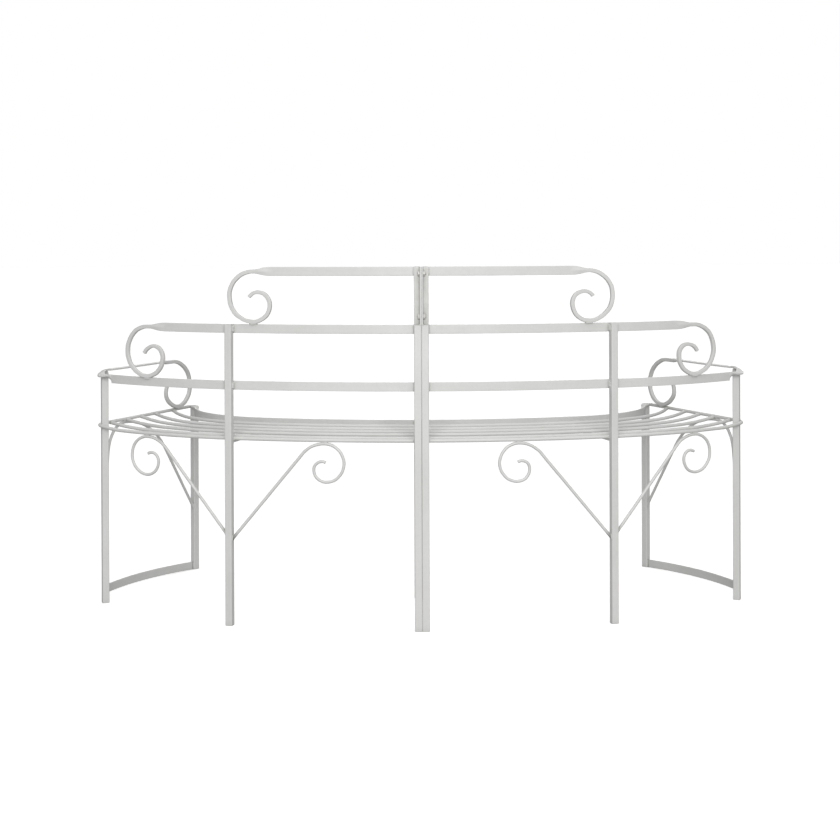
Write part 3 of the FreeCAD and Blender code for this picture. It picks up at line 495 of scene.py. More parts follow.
def plated():
    """Zinc-plated steel under a thin coat of overspray, brown bloom in the corners."""
    m = bpy.data.materials.new("zinc_fastener")
    m.use_nodes = True
    t = m.node_tree
    t.nodes.clear()
    out = t.nodes.new("ShaderNodeOutputMaterial")
    bs = t.nodes.new("ShaderNodeBsdfPrincipled")
    link(t, bs.outputs[0], out.inputs["Surface"])
    co = t.nodes.new("ShaderNodeTexCoord")
    pos = co.outputs["Object"]
    n1 = node_of(t, "ShaderNodeTexNoise", Scale=380.0, Detail=5.0, Roughness=0.6)
    link(t, pos, n1.inputs["Vector"])
    ramp = t.nodes.new("ShaderNodeValToRGB")
    ramp.color_ramp.elements[0].position = 0.35
    ramp.color_ramp.elements[0].color = (0.60, 0.575, 0.52, 1)
    ramp.color_ramp.elements[1].position = 0.62
    ramp.color_ramp.elements[1].color = (0.70, 0.698, 0.68, 1)
    link(t, n1.outputs["Fac"], ramp.inputs["Fac"])
    ao = node_of(t, "ShaderNodeAmbientOcclusion", samples=6)
    ao.inputs["Distance"].default_value = 0.003
    inv = node_of(t, "ShaderNodeMapRange")
    inv.inputs["From Min"].default_value = 0.3
    inv.inputs["From Max"].default_value = 0.9
    inv.inputs["To Min"].default_value = 0.45
    inv.inputs["To Max"].default_value = 0.0
    link(t, ao.outputs["AO"], inv.inputs["Value"])
    mix = node_of(t, "ShaderNodeMix", data_type="RGBA", blend_type="MIX")
    link(t, inv.outputs["Result"], mix.inputs[0])
    link(t, ramp.outputs["Color"], mix.inputs[6])
    mix.inputs[7].default_value = (0.42, 0.32, 0.23, 1)
    link(t, mix.outputs[2], bs.inputs["Base Color"])
    bs.inputs["Metallic"].default_value = 0.12
    rr = node_of(t, "ShaderNodeMapRange")
    rr.inputs["From Min"].default_value = 0.3
    rr.inputs["From Max"].default_value = 0.7
    rr.inputs["To Min"].default_value = 0.52
    rr.inputs["To Max"].default_value = 0.34
    link(t, n1.outputs["Fac"], rr.inputs["Value"])
    link(t, rr.outputs["Result"], bs.inputs["Roughness"])
    b1 = node_of(t, "ShaderNodeBump", Strength=0.35, Distance=0.0001)
    link(t, n1.outputs["Fac"], b1.inputs["Height"])
    link(t, b1.outputs["Normal"], bs.inputs["Normal"])
    return m


materials["paint"] = paint("offwhite_coat", 0.016, 0.90, 0.50)
# the bolted angles get deeper, wider painted shade in their corners
materials["paint_corner_shaded"] = paint("offwhite_coat_corner_shaded", 0.030, 1.0, 0.95)
materials["plated"] = plated()

# ------------------------------------------------------------------ plan lines
C1 = (0.0, R1)
P1 = (R1 * math.sin(rad(A1)), R1 - R1 * math.cos(rad(A1)))
C2 = (P1[0] - R2 * math.sin(rad(A1)), P1[1] + R2 * math.cos(rad(A1)))
C2W = (C2[0], C2[1] + YB)


def back_point(angle, inside):
    r, c = (R1 - inside, C1) if angle <= A1 else (R2 - inside, C2)
    return (c[0] + r * math.sin(rad(angle)), c[1] - r * math.cos(rad(angle)))


def back_path(inside, end_angle, start_x=G):
    a0 = math.degrees(math.asin(start_x / (R1 - inside)))
    p = back_point(a0, inside)
    path = Path(p[0], p[1] + YB, a0)
    path.arc(R1 - inside, min(end_angle, A1) - a0)
    if end_angle > A1:
        path.arc(R2 - inside, end_angle - A1)
    return path


def solve(inside_test, lo, hi):
    for _ in range(60):
        m = (lo + hi) / 2
        if inside_test(m):
            lo = m
        else:
            hi = m
    return lo


MPA, EPA = 17.1, 44.1
END_TURN = 67.9
mid_contact = back_point(MPA, 0)
mid_post = (mid_contact[0] + T / 2 * math.sin(rad(MPA)), mid_contact[1] - T / 2 * math.cos(rad(MPA)) + YB)
ep = back_point(EPA, 19)
end_post = (ep[0], ep[1] + YB)
leg = (584.5, 638.5 + YB)
END_LONG = math.dist(end_post, leg)
END_AZ = math.degrees(math.atan2(leg[1] - end_post[1], leg[0] - end_post[0]))
ed = (math.cos(rad(END_AZ)), math.sin(rad(END_AZ)))
en = (math.sin(rad(END_AZ)), -math.cos(rad(END_AZ)))


def end_point(along, out):
    return (end_post[0] + ed[0] * along + en[0] * out, end_post[1] + ed[1] * along + en[1] * out)


def smooth(f):
    f = max(0.0, min(1.0, f))
    return f * f * (3 - 2 * f)


class Wobble:
    """Small slow unevenness of bent metal, millimetres."""

    def __init__(self, rng, size, lengths=(47.0, 23.0, 71.0)):
        self.k = [(size * rng.uniform(0.4, 1.0), 2 * PI / (w * rng.uniform(0.85, 1.2)), rng.uniform(0, 2 * PI)) for w in lengths]

    def __call__(self, d):
        return sum(a * math.sin(k * d + q) for a, k, q in self.k)


def distances(frames):
    d, out = 0.0, [0.0]
    for a, b in zip(frames[:-1], frames[1:]):
        d += float(np.linalg.norm(b[0] - a[0]))
        out.append(d)
    return out


def lowest(frames, first_only=True):
    zs = [f[0][2] for f in frames]
    return frames[int(np.argmin(zs))]


def stop_line(p, direction, half, off=None):
    """Short straight line centred on p."""
    q = p if off is None else p + off
    return [q - direction * half, q, q + direction * half]


ringpost = [(-1, -1), (1, -1), (1, 1), (-1, 1)]


def around_post(x, y, turn, z, grow=0.2, r=2.0, n=5):
    """Closed line round a square post at a height."""
    c, s = math.cos(rad(turn)), math.sin(rad(turn))
    a, b = arr(c, s, 0), arr(-s, c, 0)
    sec = rounded(T + 2 * grow, T + 2 * grow, r, n, across=0)
    return [arr(x, y, z) + a * u + b * w for u, w in sec]


def post_sides(x, y, turn, z0, z1, side_off=0.3, face_off=-0.9):
    """The two upright corner lines where a rail crosses a post's seat face."""
    c, s = math.cos(rad(turn)), math.sin(rad(turn))
    a, b = arr(c, s, 0), arr(-s, c, 0)
    out = []
    for k in (-1, 1):
        q = arr(x, y, 0) + a * k * (T / 2 + side_off) + b * (T / 2 + face_off)
        out.append([q + UP * z0, q + UP * ((z0 + z1) / 2), q + UP * z1])
    return out


# ------------------------------------------------------------------ pieces
def build_half(side):
    tag = "_right" if side > 0 else "_left"
    seed0 = 100 if side > 0 else 500

    # posts and legs
    posts = [
        ("centre_back_post", 0.12 + T / 2, YB - T / 2, 0.0, 666.0),
        ("mid_back_post", mid_post[0], mid_post[1], MPA, 666.0),
        ("end_back_post", end_post[0], end_post[1], END_TURN, 533.5),
        ("centre_front_leg", G + T / 2, YB + 320 - BT / 2 - T / 2, 0.0, 418.0),
        ("end_front_leg", leg[0], leg[1], 45.0, 419.0),
    ]
    for i, (name, x, y, turn, top) in enumerate(posts):
        s = Shells(seed0 + i)
        s.tube(x, y, turn, 0.0, top)
        if name == "centre_back_post":
            outer = post_sides(x, y, turn, 648, 664.5)[1]
            s.bead(outer, 1.6)
            s.bead(post_sides(x, y, turn, 522.5, 539)[1], 1.6)
            s.bead([arr(x - 6, y + T / 2 + 0.7, ZR + 3.9), arr(x + 6.5, y + T / 2 + 0.7, ZR + 3.9)], 1.3)
            s.bead([arr(x + T / 2 + 0.4, y + T / 2 - 0.3, ZR - 3.4), arr(x + T / 2 + 0.6, y + T / 2 - 0.3, ZR + 3.4)], 1.5)
        if name == "mid_back_post":
            for z0, z1 in ((647.5, 664.0), (522.0, 538.5)):
                near_, far_ = post_sides(x, y, turn, z0, z1)
                s.bead(far_, 1.7)
                s.bead(near_, 2.0)
                for back_, r_ in ((3.0, 2.4), (6.0, 2.1), (8.6, 1.7)):
                    l = post_sides(x, y, turn, z0 + back_ * 0.25, z1 - back_ * 0.3, 0.5, -back_)[0]
                    s.bead(l, r_)
            for l in post_sides(x, y, turn, ZR - 3.6, ZR + 3.6, 0.5, -0.4):
                s.bead(l, 1.6)
        if name == "end_back_post":
            # its end follows the slope of the banked bar and is welded round
            def under(qx, qy):
                dx, dy = qx - x, qy - y
                # past the bar's inner edge the end falls away
                past = dx * (-math.sin(rad(turn)) - math.cos(rad(turn))) + dy * (math.cos(rad(turn)) - math.sin(rad(turn))) - 5.5
                return min(543.4 - 0.8 * max(0.0, past), 543.1 - 0.457 * dx + 0.176 * dy)

            for q, v in enumerate(s.v):
                if v[2] > 480.0:
                    s.v[q] = (v[0], v[1], v[2] + under(v[0], v[1]) - top)
            s.bead([arr(p[0], p[1], under(p[0], p[1]) - 0.9) for p in around_post(x, y, turn, 0.0, 0.0)], 1.8, closed=True)
        if name == "centre_front_leg":
            s.bead(post_sides(x, y, turn, 402.5, 416.5)[1], 1.6)
            s.bead([arr(x - 6.5, y + T / 2 + 0.2, 417.9), arr(x + 6.5, y + T / 2 + 0.2, 417.9)], 1.5)
        if name == "end_front_leg":
            s.bead(around_post(x, y, turn, 418.3, 0.2), 1.7, closed=True)
        finish_piece(s, name + tag, side, "paint")

    # upper rails: flat bar on edge, forged down to a square bar, scrolled
    def rail(name, k, top, reach, run, radii, tip_turn, TL, inner_weld=None):
        s = Shells(seed0 + k)
        wob = Wobble(s.rng, 0.22)
        rr, c = (R2, C2) if reach > P1[0] else (R1, C1)
        ang = math.degrees(math.asin((reach - c[0]) / (rr - BT / 2)))
        path = back_path(BT / 2, ang)
        fr = plan_frames(path.samples(), top - BH / 2)
        sec = [rounded(BT, BH, 0.9, 4, 0.0) for _ in fr]
        last = fr[-1]
        SQ, steps = 9.0, 16
        for i in range(1, steps + 1):
            f = i / float(steps)
            g = smooth(f ** 1.5)
            e = smooth(min(1.0, f * 1.25))
            fr.append((last[0] + last[1] * TL * f, last[1], last[2], last[3]))
            gro = -1.5 * math.sin(PI * min(1.0, f * 1.02)) ** 1.2
            sec.append(rounded(BT + (SQ - BT) * e, BH + (SQ - BH) * g, 0.9 + 0.8 * g, 4, gro))
        sp = Path(0, top - BH / 2, 0)
        sp.line(run)
        for r in radii[:-1]:
            sp.arc(r, -90)
        sp.arc(radii[-1], -tip_turn)
        up = upright_frames(sp.samples(tol=0.01, widest=4.0, longest=6.0), fr[-1][0][0], fr[-1][0][1], path.h)
        d = distances(up)
        total = d[-1]
        for f, q in list(zip(up, d))[1:]:
            p, t, a, b = f
            near = min(1.0, q / 40.0)
            p = p + b * wob(q) * near
            # the bar leans a little about its own line and thins to its tip
            lean = 3.0 * near * math.sin(q / 61.0 + k)
            thin = smooth((q - (total - 70)) / 70.0)
            w = SQ - 1.0 * thin + 0.10 * math.sin(q / 13.0)
            gro = 0.0
            fr.append(turned((p, t, a, b), lean))
            sec.append(rounded(w, w, 1.7 - 0.2 * thin, 4, gro))
        s.sweep(fr, sec, 0.5, 0.7)
        # weld under the scroll, on the bar below
        low = lowest(up[: int(len(up) * 0.62)])
        along = unit(arr(low[1][0], low[1][1], 0))
        zc = low[0][2] - 4.5 - 0.5
        nrm = low[2]
        for q in (-1, 1):
            s.bead(stop_line(arr(low[0][0], low[0][1], zc), along, 8.5, nrm * q * 2.7), 2.0)
        s.bead(stop_line(arr(low[0][0], low[0][1], zc + 0.9), along, 9.5), 1.7)
        if inner_weld:
            for line, r in inner_weld:
                s.bead(line, r)
        finish_piece(s, name + tag, side, "paint")
        return up

    xe = G + 16.0
    rail("top_back_rail", 10, 792.5, 327.0, 1.0, [55.2, 55.8, 38, 27.3, 24.5], 57, 44.0, inner_weld=[
        ([arr(xe + 0.2, YB - 0.8, 775.5), arr(xe + 0.2, YB - 0.8, 783), arr(xe + 0.2, YB - 0.8, 791)], 1.7),
        ([arr(G + 2, YB - 0.2, 792.2), arr(xe - 1, YB - 0.2, 792.2)], 1.4),
        ([arr(G + 5, YB - 1.2, 772.3), arr(xe - 1.5, YB - 1.2, 772.3)], 1.5),
    ])
    rail("middle_back_rail", 11, 666.0, 574.0, 8.5, [56.6, 55.9, 44, 24.4, 31.6], 62, 46.0)

    # lower rail: on edge, twisted flat over the end post, then the armrest
    s = Shells(seed0 + 12)
    wob = Wobble(s.rng, 0.22)
    CR, NECK, AW, ARM_OUT, LOW, AL = 23.0, 534.5, 18.0, 4.5, 540.5, 546.0
    rr = R2 - BT / 2
    ce = end_point(0, ARM_OUT - CR)
    slide = solve(lambda m: math.dist((ce[0] + ed[0] * m, ce[1] + ed[1] * m), C2W) > rr - CR, -60.0, 60.0)
    corner = (ce[0] + ed[0] * slide, ce[1] + ed[1] * slide)
    heading = math.degrees(math.atan2(corner[0] - C2W[0], C2W[1] - corner[1]))
    TW = 34.0
    twa = math.degrees(TW / rr)
    path = back_path(BT / 2, heading - twa)
    fr = plan_frames(path.samples(), LOW - BH / 2)
    sec = [rounded(BT, BH, 0.9, 4) for _ in fr]
    steps = 22
    for i in range(1, steps + 1):
        f = (i / float(steps)) ** 1.25
        g = 1 - (1 - f) ** 2.5
        a = heading - twa * (1 - f)
        c = (C2W[0] + rr * math.sin(rad(a)), C2W[1] - rr * math.cos(rad(a)))
        z = LOW - BH / 2 + (NECK - LOW + BH / 2) * g
        t = arr(math.cos(rad(a)), math.sin(rad(a)), 0)
        fr.append(turned((arr(c[0], c[1], z), t, arr(-t[1], t[0], 0), UP.copy()), 90 * g))
        sec.append(rounded(BT, BH + (AW - BH) * g, 0.9, 4))
    # over the post the bar climbs and banks, then levels out as the armrest
    cp = Path(C2W[0] + rr * math.sin(rad(heading)), C2W[1] - rr * math.cos(rad(heading)), heading)
    cp.arc(CR, END_AZ - heading)
    start_along = (cp.x - end_post[0]) * ed[0] + (cp.y - end_post[1]) * ed[1]
    run_out = 22.0
    arc_long = CR * rad(END_AZ - heading)
    cs = cp.samples(tol=0.01, widest=4.0)
    track = [(x, y, h, arc_long * k / (len(cs) - 1)) for k, (x, y, h) in enumerate(cs)][1:]
    for k in range(1, 9):
        q = end_point(start_along + run_out * k / 8.0, ARM_OUT)
        track.append((q[0], q[1], END_AZ, arc_long + run_out * k / 8.0))
    climb = arc_long + run_out * 0.4
    for x, y, h, d in track:
        u = min(1.0, d / climb)
        g = smooth(u) * 0.55 + 0.45 * u
        slope = math.degrees(math.atan2((AL - NECK) * (0.55 * 6 * u * (1 - u) + 0.45) / climb, 1.0)) if u < 1 else 0.0
        bank = BANK * math.sin(PI * min(1.0, d / (arc_long + run_out)) ** 0.9) ** 1.0
        c, q = math.cos(rad(h)), math.sin(rad(h))
        cc, ss = math.cos(rad(slope)), math.sin(rad(slope))
        fr.append(turned((arr(x, y, NECK + (AL - NECK) * g), arr(c * cc, q * cc, ss), arr(-q, c, 0), arr(-c * ss, -q * ss, cc)), 90 + bank))
        sec.append(rounded(BT, AW, 0.9, 4))
    ca, sa = ed
    xd, outd = arr(ca, sa, 0), arr(sa, -ca, 0)

    def arm_frame(u, v, h, x0, y0):
        c, q = math.cos(rad(h)), math.sin(rad(h))
        return (arr(x0, y0, 0) + xd * u + UP * v, xd * c + UP * q, UP * c - xd * q, outd.copy())

    first = start_along + run_out
    for k in range(1, 17):
        q = end_point(first + (246.0 - first) * k / 16.0, ARM_OUT)
        sag = 0.35 * math.sin(PI * k / 16.0)
        fr.append((arr(q[0], q[1], AL - sag), xd.copy(), UP.copy(), outd.copy()))
        sec.append(rounded(BT, AW, 0.9, 4))
    ASQ, ASL, TL = 9.0, 543.5, 40.0
    base = end_point(246.0, ARM_OUT)
    for i in range(1, 15):
        f = i / 14.0
        g = smooth(f)
        e = smooth(min(1.0, f * 1.25))
        q = end_point(246.0 + TL * f, ARM_OUT)
        gro = -1.2 * math.sin(PI * min(1.0, f * 1.02)) ** 1.2
        fr.append((arr(q[0], q[1], AL + (ASL - AL) * g), xd.copy(), UP.copy(), outd.copy()))
        sec.append(rounded(BT + (ASQ - BT) * e, AW + (ASQ - AW) * g, 0.9 + 0.7 * g, 4, gro))
    curl = Path(0, ASL, 0).line(17)
    for r, a in ((92.6, 45), (56.4, 45), (43.7, 45), (60.0, 45), (71.8, 45), (24.7, 45), (30, 58)):
        curl.arc(r, -a)
    q0 = end_point(246.0 + TL, ARM_OUT)
    cf = [arm_frame(u, v, h, q0[0], q0[1]) for u, v, h in curl.samples(tol=0.01, widest=4.0, longest=6.0)]
    d = distances(cf)
    for f, q in list(zip(cf, d))[1:]:
        p, t, a, b = f
        near = min(1.0, q / 40.0)
        thin = smooth((q - (d[-1] - 60)) / 60.0)
        w = ASQ - 0.9 * thin + 0.1 * math.sin(q / 12.0)
        fr.append(turned((p + a * wob(q) * near, t, a, b), 3.0 * near * math.sin(q / 57.0)))
        sec.append(rounded(w, w, 1.7, 4, 0.0))
    s.sweep(fr, sec, 0.5, 0.7)
    low = lowest(cf[: int(len(cf) * 0.75)])
    along = unit(arr(low[1][0], low[1][1], 0))
    base = arr(low[0][0], low[0][1], low[0][2] - 4.6)
    outw = arr(en[0], en[1], 0)
    s.bead(stop_line(base, along, 7.5, outw * 1.6 + UP * -0.2), 1.9)
    s.bead(stop_line(base, along, 7.0, outw * -2.2 + UP * -0.2), 1.9)
    finish_piece(s, "lower_back_rail_armrest" + tag, side, "paint")

    # rim rod: along the back of the seat, round the end post, up onto the end
    s = Shells(seed0 + 13)
    rim_in, rim_out, rb = RD / 2, 11.5, 22.0
    ce = end_point(0, rim_out - rb)
    slide = solve(lambda m: math.dist((ce[0] + ed[0] * m, ce[1] + ed[1] * m), C2W) > R2 - rim_in - rb, -60.0, 60.0)
    rc = (ce[0] + ed[0] * slide, ce[1] + ed[1] * slide)
    rim_heading = math.degrees(math.atan2(rc[0] - C2W[0], C2W[1] - rc[1]))
    rim = back_path(rim_in, rim_heading)
    pts = [arr(x, y, ZR) for x, y, h in rim.samples()]
    t0 = arr(math.cos(rad(rim_heading)), math.sin(rad(rim_heading)), 0)
    bend = Path(pts[-1][0], pts[-1][1], rim_heading)
    bend.arc(rb, END_AZ - rim_heading)
    pts += [arr(x, y, ZR) for x, y, h in bend.samples(tol=0.01, widest=4.0)][1:]
    bend_along = (bend.x - end_post[0]) * ed[0] + (bend.y - end_post[1]) * ed[1]
    for j in range(1, 41):
        q = end_point(bend_along + (END_LONG - 5 - bend_along) * j / 40.0, rim_out)
        pts.append(arr(q[0], q[1], ZR))
    # it starts to climb before the post and is up on the end soon after
    run_ = [0.0]
    for a_, b_ in zip(pts[:-1], pts[1:]):
        run_.append(run_[-1] + float(np.linalg.norm(b_ - a_)))
    bend_start = run_[len(rim.samples()) - 1]
    bend_end = bend_start + rb * rad(END_AZ - rim_heading)
    up0_, up1_ = bend_start - 70.0, bend_end + 24.0
    grid = np.linspace(0, run_[-1], int(run_[-1] / 6.0))
    keep_ = sorted(set(list(run_)) | set(float(g_) for g_ in grid if up0_ < g_ < up1_))
    P_ = np.array(pts)
    clean = []
    for g_ in keep_:
        q = arr(np.interp(g_, run_, P_[:, 0]), np.interp(g_, run_, P_[:, 1]), ZR + 8.0 * smooth((g_ - up0_) / (up1_ - up0_)))
        if not clean or np.linalg.norm(q - clean[-1]) > 0.4:
            clean.append(q)
    s.sweep(space_frames(clean), disc(RD, 24), 0.6, 0.6)
    # welds of the slat ends and arches under the end rod come with the slats
    s.bead([arr(*end_point(END_LONG - 5.5, rim_out - 3.8), 421.6), arr(*end_point(END_LONG - 5.0, rim_out + 3.0), 421.0)], 2.2)
    s.bead([arr(*end_point(END_LONG - 9, rim_out - 4.2), 422.2), arr(*end_point(END_LONG - 2, rim_out - 5.0), 422.6)], 2.0)
    finish_piece(s, "seat_rim_rod" + tag, side, "paint")

    # front rail: on edge, its end twisted flat onto the end leg
    s = Shells(seed0 + 14)
    FR1, FA1, FR2, FH, FY, FT = 1236.0, 18.0, 288.5, 78.0, 320.0, 421.0
    a0 = math.degrees(math.asin(G / FR1))
    fp = Path(FR1 * math.sin(rad(a0)), YB + FY + FR1 * (1 - math.cos(rad(a0))), a0)
    fp.arc(FR1, FA1 - a0).arc(FR2, FH - FA1)
    fr = plan_frames(fp.samples(), FT - BH / 2)
    sec = [rounded(BT, BH, 0.9, 4) for _ in fr]
    fdir = arr(math.cos(rad(FH)), math.sin(rad(FH)), 0)
    to_leg = (leg[0] - fp.x) * fdir[0] + (leg[1] - fp.y) * fdir[1]
    ftw = to_leg - 10.0
    for i in range(1, 15):
        f = i / 14.0
        g = smooth(f)
        z = (FT - BH / 2) * (1 - g) + 421.0 * g
        fr.append(turned((arr(fp.x, fp.y, z) + fdir * ftw * f, fdir.copy(), arr(-fdir[1], fdir[0], 0), UP.copy()), 90 * g))
        sec.append(rounded(BT, BH, 0.9, 4))
    for k in (7.0, 14.0, 20.0):
        fr.append(turned((arr(fp.x, fp.y, 421.0) + fdir * (ftw + k), fdir.copy(), arr(-fdir[1], fdir[0], 0), UP.copy()), 90))
        sec.append(rounded(BT, BH, 0.9, 4))
    s.sweep(fr, sec, 0.5, 0.9)
    # heavy weld under the flat end, on the leg's camera-side corner
    lv = arr(leg[0], leg[1], 0)
    s.bead([lv + arr(10.2, -1.6, 419.6), lv + arr(4.5, -6.8, 419.2), lv + arr(-0.6, -10.4, 419.0)], 2.1)
    s.bead([lv + arr(0.8, -10.4, 419.0), lv + arr(-5.0, -6.6, 419.2), lv + arr(-10.2, -1.4, 419.6)], 2.1)
    s.bead([lv + arr(11.4, -3.6, 422.2), lv + arr(6.0, -5.2, 423.1), lv + arr(-0.5, -5.4, 423.2), lv + arr(-7.0, -6.2, 423.0)], 1.9)
    s.bead([lv + arr(9.4, -0.4, 422.8), lv + arr(3.0, -2.4, 423.2), lv + arr(-4.2, -3.4, 423.2)], 1.6)
    finish_piece(s, "front_seat_rail" + tag, side, "paint")

    # seat slats
    def rim_at(x):
        r, c = (R1 - rim_in, C1) if x < P1[0] else (R2 - rim_in, C2)
        return c[1] - math.sqrt(r * r - (x - c[0]) ** 2) + YB

    bearer_dir = arr(-math.sin(rad(MPA)), math.cos(rad(MPA)), 0)
    bearer_side = arr(math.cos(rad(MPA)), math.sin(rad(MPA)), 0)
    bearer_from = arr(mid_contact[0], mid_contact[1] + YB, 0)
    slat_mid = []
    for k in range(1, 6):
        s = Shells(seed0 + 20 + k)
        f = SLAT_AT[k - 1]
        y0 = rim_in + f * (FY - rim_in)
        r1 = (R1 - rim_in) + f * (FR1 - (R1 - rim_in))
        th = A1 + f * (FA1 - A1)
        r2 = (R2 - rim_in) + f * (FR2 - (R2 - rim_in))
        b0 = math.degrees(math.asin(G / r1))
        p = Path(r1 * math.sin(rad(b0)), YB + y0 + r1 * (1 - math.cos(rad(b0))), b0)
        p.arc(r1, th - b0)

        def off_of(m):
            q = Path(p.x, p.y, p.h).arc(r2, m)
            return (q.x - end_post[0]) * en[0] + (q.y - end_post[1]) * en[1]

        p.arc(r2, solve(lambda m: off_of(m) < rim_out, 5.0, 85.0))
        fr = plan_frames(p.samples(longest=12.0), ZR)
        dd = distances(fr)
        line3 = [g_[0] + UP * 7.5 * max(0.0, 1 - (dd[-1] - q_) / 165.0) ** 2 for g_, q_ in zip(fr, dd)]
        fr3 = space_frames(line3)
        fr3[-1] = fr3[-2][:0] + (line3[-1],) + fr3[-1][1:]
        env_ = arr(en[0], en[1], 0)
        stop_at = arr(*end_point(0, rim_out - 2.6), 0)
        s.sweep(fr3[:-1] + [fr3[-1]], disc(RD, 24), 0.6, 0, cut1=(stop_at, env_))
        along = (p.x - end_post[0]) * ed[0] + (p.y - end_post[1]) * ed[1]
        # weld round the end, where it butts on the end rod
        hv = arr(math.cos(rad(p.h)), math.sin(rad(p.h)), 0)
        av = arr(-hv[1], hv[0], 0)
        end_c = arr(*end_point(along, rim_out), 420.0)
        for lo_, hi_ in ((-15, 195), (165, 375)):
            arc_ = []
            for j in range(9):
                q_ = rad(lo_ + (hi_ - lo_) * j / 8.0)
                arc_.append(end_c + av * math.cos(q_) * 4.1 + UP * math.sin(q_) * 3.7)
            arc_ = Shells.on_plane(np.array(arc_), hv, (arr(*end_point(0, rim_out - 3.4), 0), env_))
            s.bead(list(arc_), 1.25)
        # welds on the two bearers
        for i in range(len(fr) - 1):
            g0 = float(np.dot(fr[i][0] - bearer_from, bearer_side))
            g1 = float(np.dot(fr[i + 1][0] - bearer_from, bearer_side))
            if g0 <= 0 < g1:
                w = -g0 / (g1 - g0)
                cross = fr[i][0] * (1 - w) + fr[i + 1][0] * w
                along_slat = fr[i][1]
                across = arr(-along_slat[1], along_slat[0], 0)
                for o in (-1, 1):
                    s.bead(stop_line(arr(cross[0], cross[1], 408.9), along_slat, 4.6, across * o * 3.2), 1.2)
                slat_mid.append(cross)
                break
        for o in (-1, 1):
            s.bead([arr(4.6, fr[0][0][1] + o * 3.2, 408.9), arr(13.4, fr[0][0][1] + o * 3.2 + 0.1, 408.9)], 1.2)
        finish_piece(s, "seat_slat_%d%s" % (k, tag), side, "paint")

    # bearers under the rods
    BS, BV = 10.0, 6.0
    bz = ZR - RD / 2 - BV
    fc = (0.0, FY + FR1)
    blen = solve(lambda m: math.dist((mid_contact[0] + bearer_dir[0] * m, mid_contact[1] + bearer_dir[1] * m), fc) > FR1 + BT / 2, 100.0, 500.0)
    for name, k, start, direction, length in (
        ("mid_seat_bearer", 30, arr(mid_contact[0], mid_contact[1] + YB, bz + BV / 2), bearer_dir, blen),
        ("centre_seat_bearer", 31, arr(G + T / 2, YB, bz + BV / 2), arr(0, 1, 0), 302.0),
    ):
        s = Shells(seed0 + k)
        sd = arr(direction[1], -direction[0], 0)
        fr = [(start + direction * (length * i / 10.0), direction, -sd, UP.copy()) for i in range(11)]
        s.sweep(fr, rounded(BS, BV, 1.0, 4, across=0), 0.4, 0.3)
        for base, r in ((start + direction * 0.6, 1.7), (start + direction * (length - 0.6), 1.7)):
            for o in (-1, 1):
                s.bead([base + sd * o * (BS / 2 + 0.2) - UP * 2.4, base + sd * o * (BS / 2 + 0.3) + UP * 2.2], r)
            s.bead([base - sd * 4.4 - UP * (BV / 2 + 0.1), base + sd * 4.4 - UP * (BV / 2 + 0.1)], 1.3)
        for o in (-1, 1):
            t = arr(direction[1], -direction[0], 0)
            s.bead(stop_line(start + UP * (BV / 2 + 0.3) + direction * (rim_in + o * 3.3), t, 4.3), 1.2)
        finish_piece(s, name + tag, side, "paint")

    # scroll braces on the mid posts
    top_b = ZR - RD / 2 - BD / 2
    c17, s17 = math.cos(rad(MPA)), math.sin(rad(MPA))

    def brace(name, k, sgn, foot_z, slope, tx, radii, tip_turn):
        s = Shells(seed0 + k)
        start = (mid_post[0] + sgn * T / 2 * c17, mid_post[1] + sgn * T / 2 * s17)
        az = math.degrees(math.atan2(rim_at(tx) - start[1], tx - start[0]))
        ub = math.dist((tx, rim_at(tx)), start)
        sn, cs_ = math.sin(rad(slope)), math.cos(rad(slope))
        tn = sn / cs_
        ra_ = (foot_z + ub * tn - top_b) / (sn * tn - (1 - cs_))
        u0, z0 = ub - ra_ * sn, top_b - ra_ * (1 - cs_)
        p = Path(0, foot_z, slope)
        p.line(math.dist((0, foot_z), (u0, z0)))
        p.arc(ra_, -slope)
        for r in radii[:-1]:
            p.arc(r, -90)
        p.arc(radii[-1], -tip_turn)
        fr = upright_frames(p.samples(tol=0.01, widest=5.0, longest=25.0), start[0], start[1], az)
        wob_ = Wobble(s.rng, 0.2)
        d_ = distances(fr)
        line = math.dist((0, foot_z), (u0, z0))
        fr2 = []
        for f, q in zip(fr, d_):
            near = smooth((q - line * 0.6) / 60.0)
            away = 1 - smooth(1 - abs(q - line - ra_ * rad(slope)) / 25.0)
            fr2.append((f[0] + f[3] * wob_(q) * near * away, f[1], f[2], f[3]))
        post_n = arr(c17, s17, 0) * sgn
        inner_face = arr(start[0], start[1], 0) - post_n * 0.9
        s.sweep(fr2, disc(BD, 22), 0, 0.8, cut0=(inner_face, post_n))
        # weld round the foot, on the post's side face
        t0_ = fr[0][1]
        ring0 = [fr[0][0] + fr[0][2] * u * (BD / 2 + 0.2) / 1.0 + fr[0][3] * v * (BD / 2 + 0.2) for u, v in [(math.cos(2 * PI * i / 28), math.sin(2 * PI * i / 28)) for i in range(28)]]
        ring0 = Shells.on_plane(np.array(ring0), t0_, (arr(start[0], start[1], 0) + post_n * 0.3, post_n))
        s.bead(list(ring0), 1.35, closed=True)
        # weld to the rim rod above
        topf = fr[min(range(len(fr)), key=lambda i: abs(d_[i] - line - ra_ * rad(slope)))]
        tl_ = unit(arr(topf[1][0], topf[1][1], 0))
        nl = arr(-tl_[1], tl_[0], 0)
        for o in (-1, 1):
            s.bead(stop_line(arr(topf[0][0], topf[0][1], 408.4), tl_, 7.0, nl * o * 2.0), 1.5)
        finish_piece(s, name + tag, side, "paint")

    brace("inner_scroll_brace", 40, -1, 192.6, 50.2, 213.1, [43.5, 40.5, 27, 18, 15], 35)
    brace("outer_scroll_brace", 41, 1, 203.0, 47.4, 624.2, [43.5, 43.0, 32, 19, 16], 40)

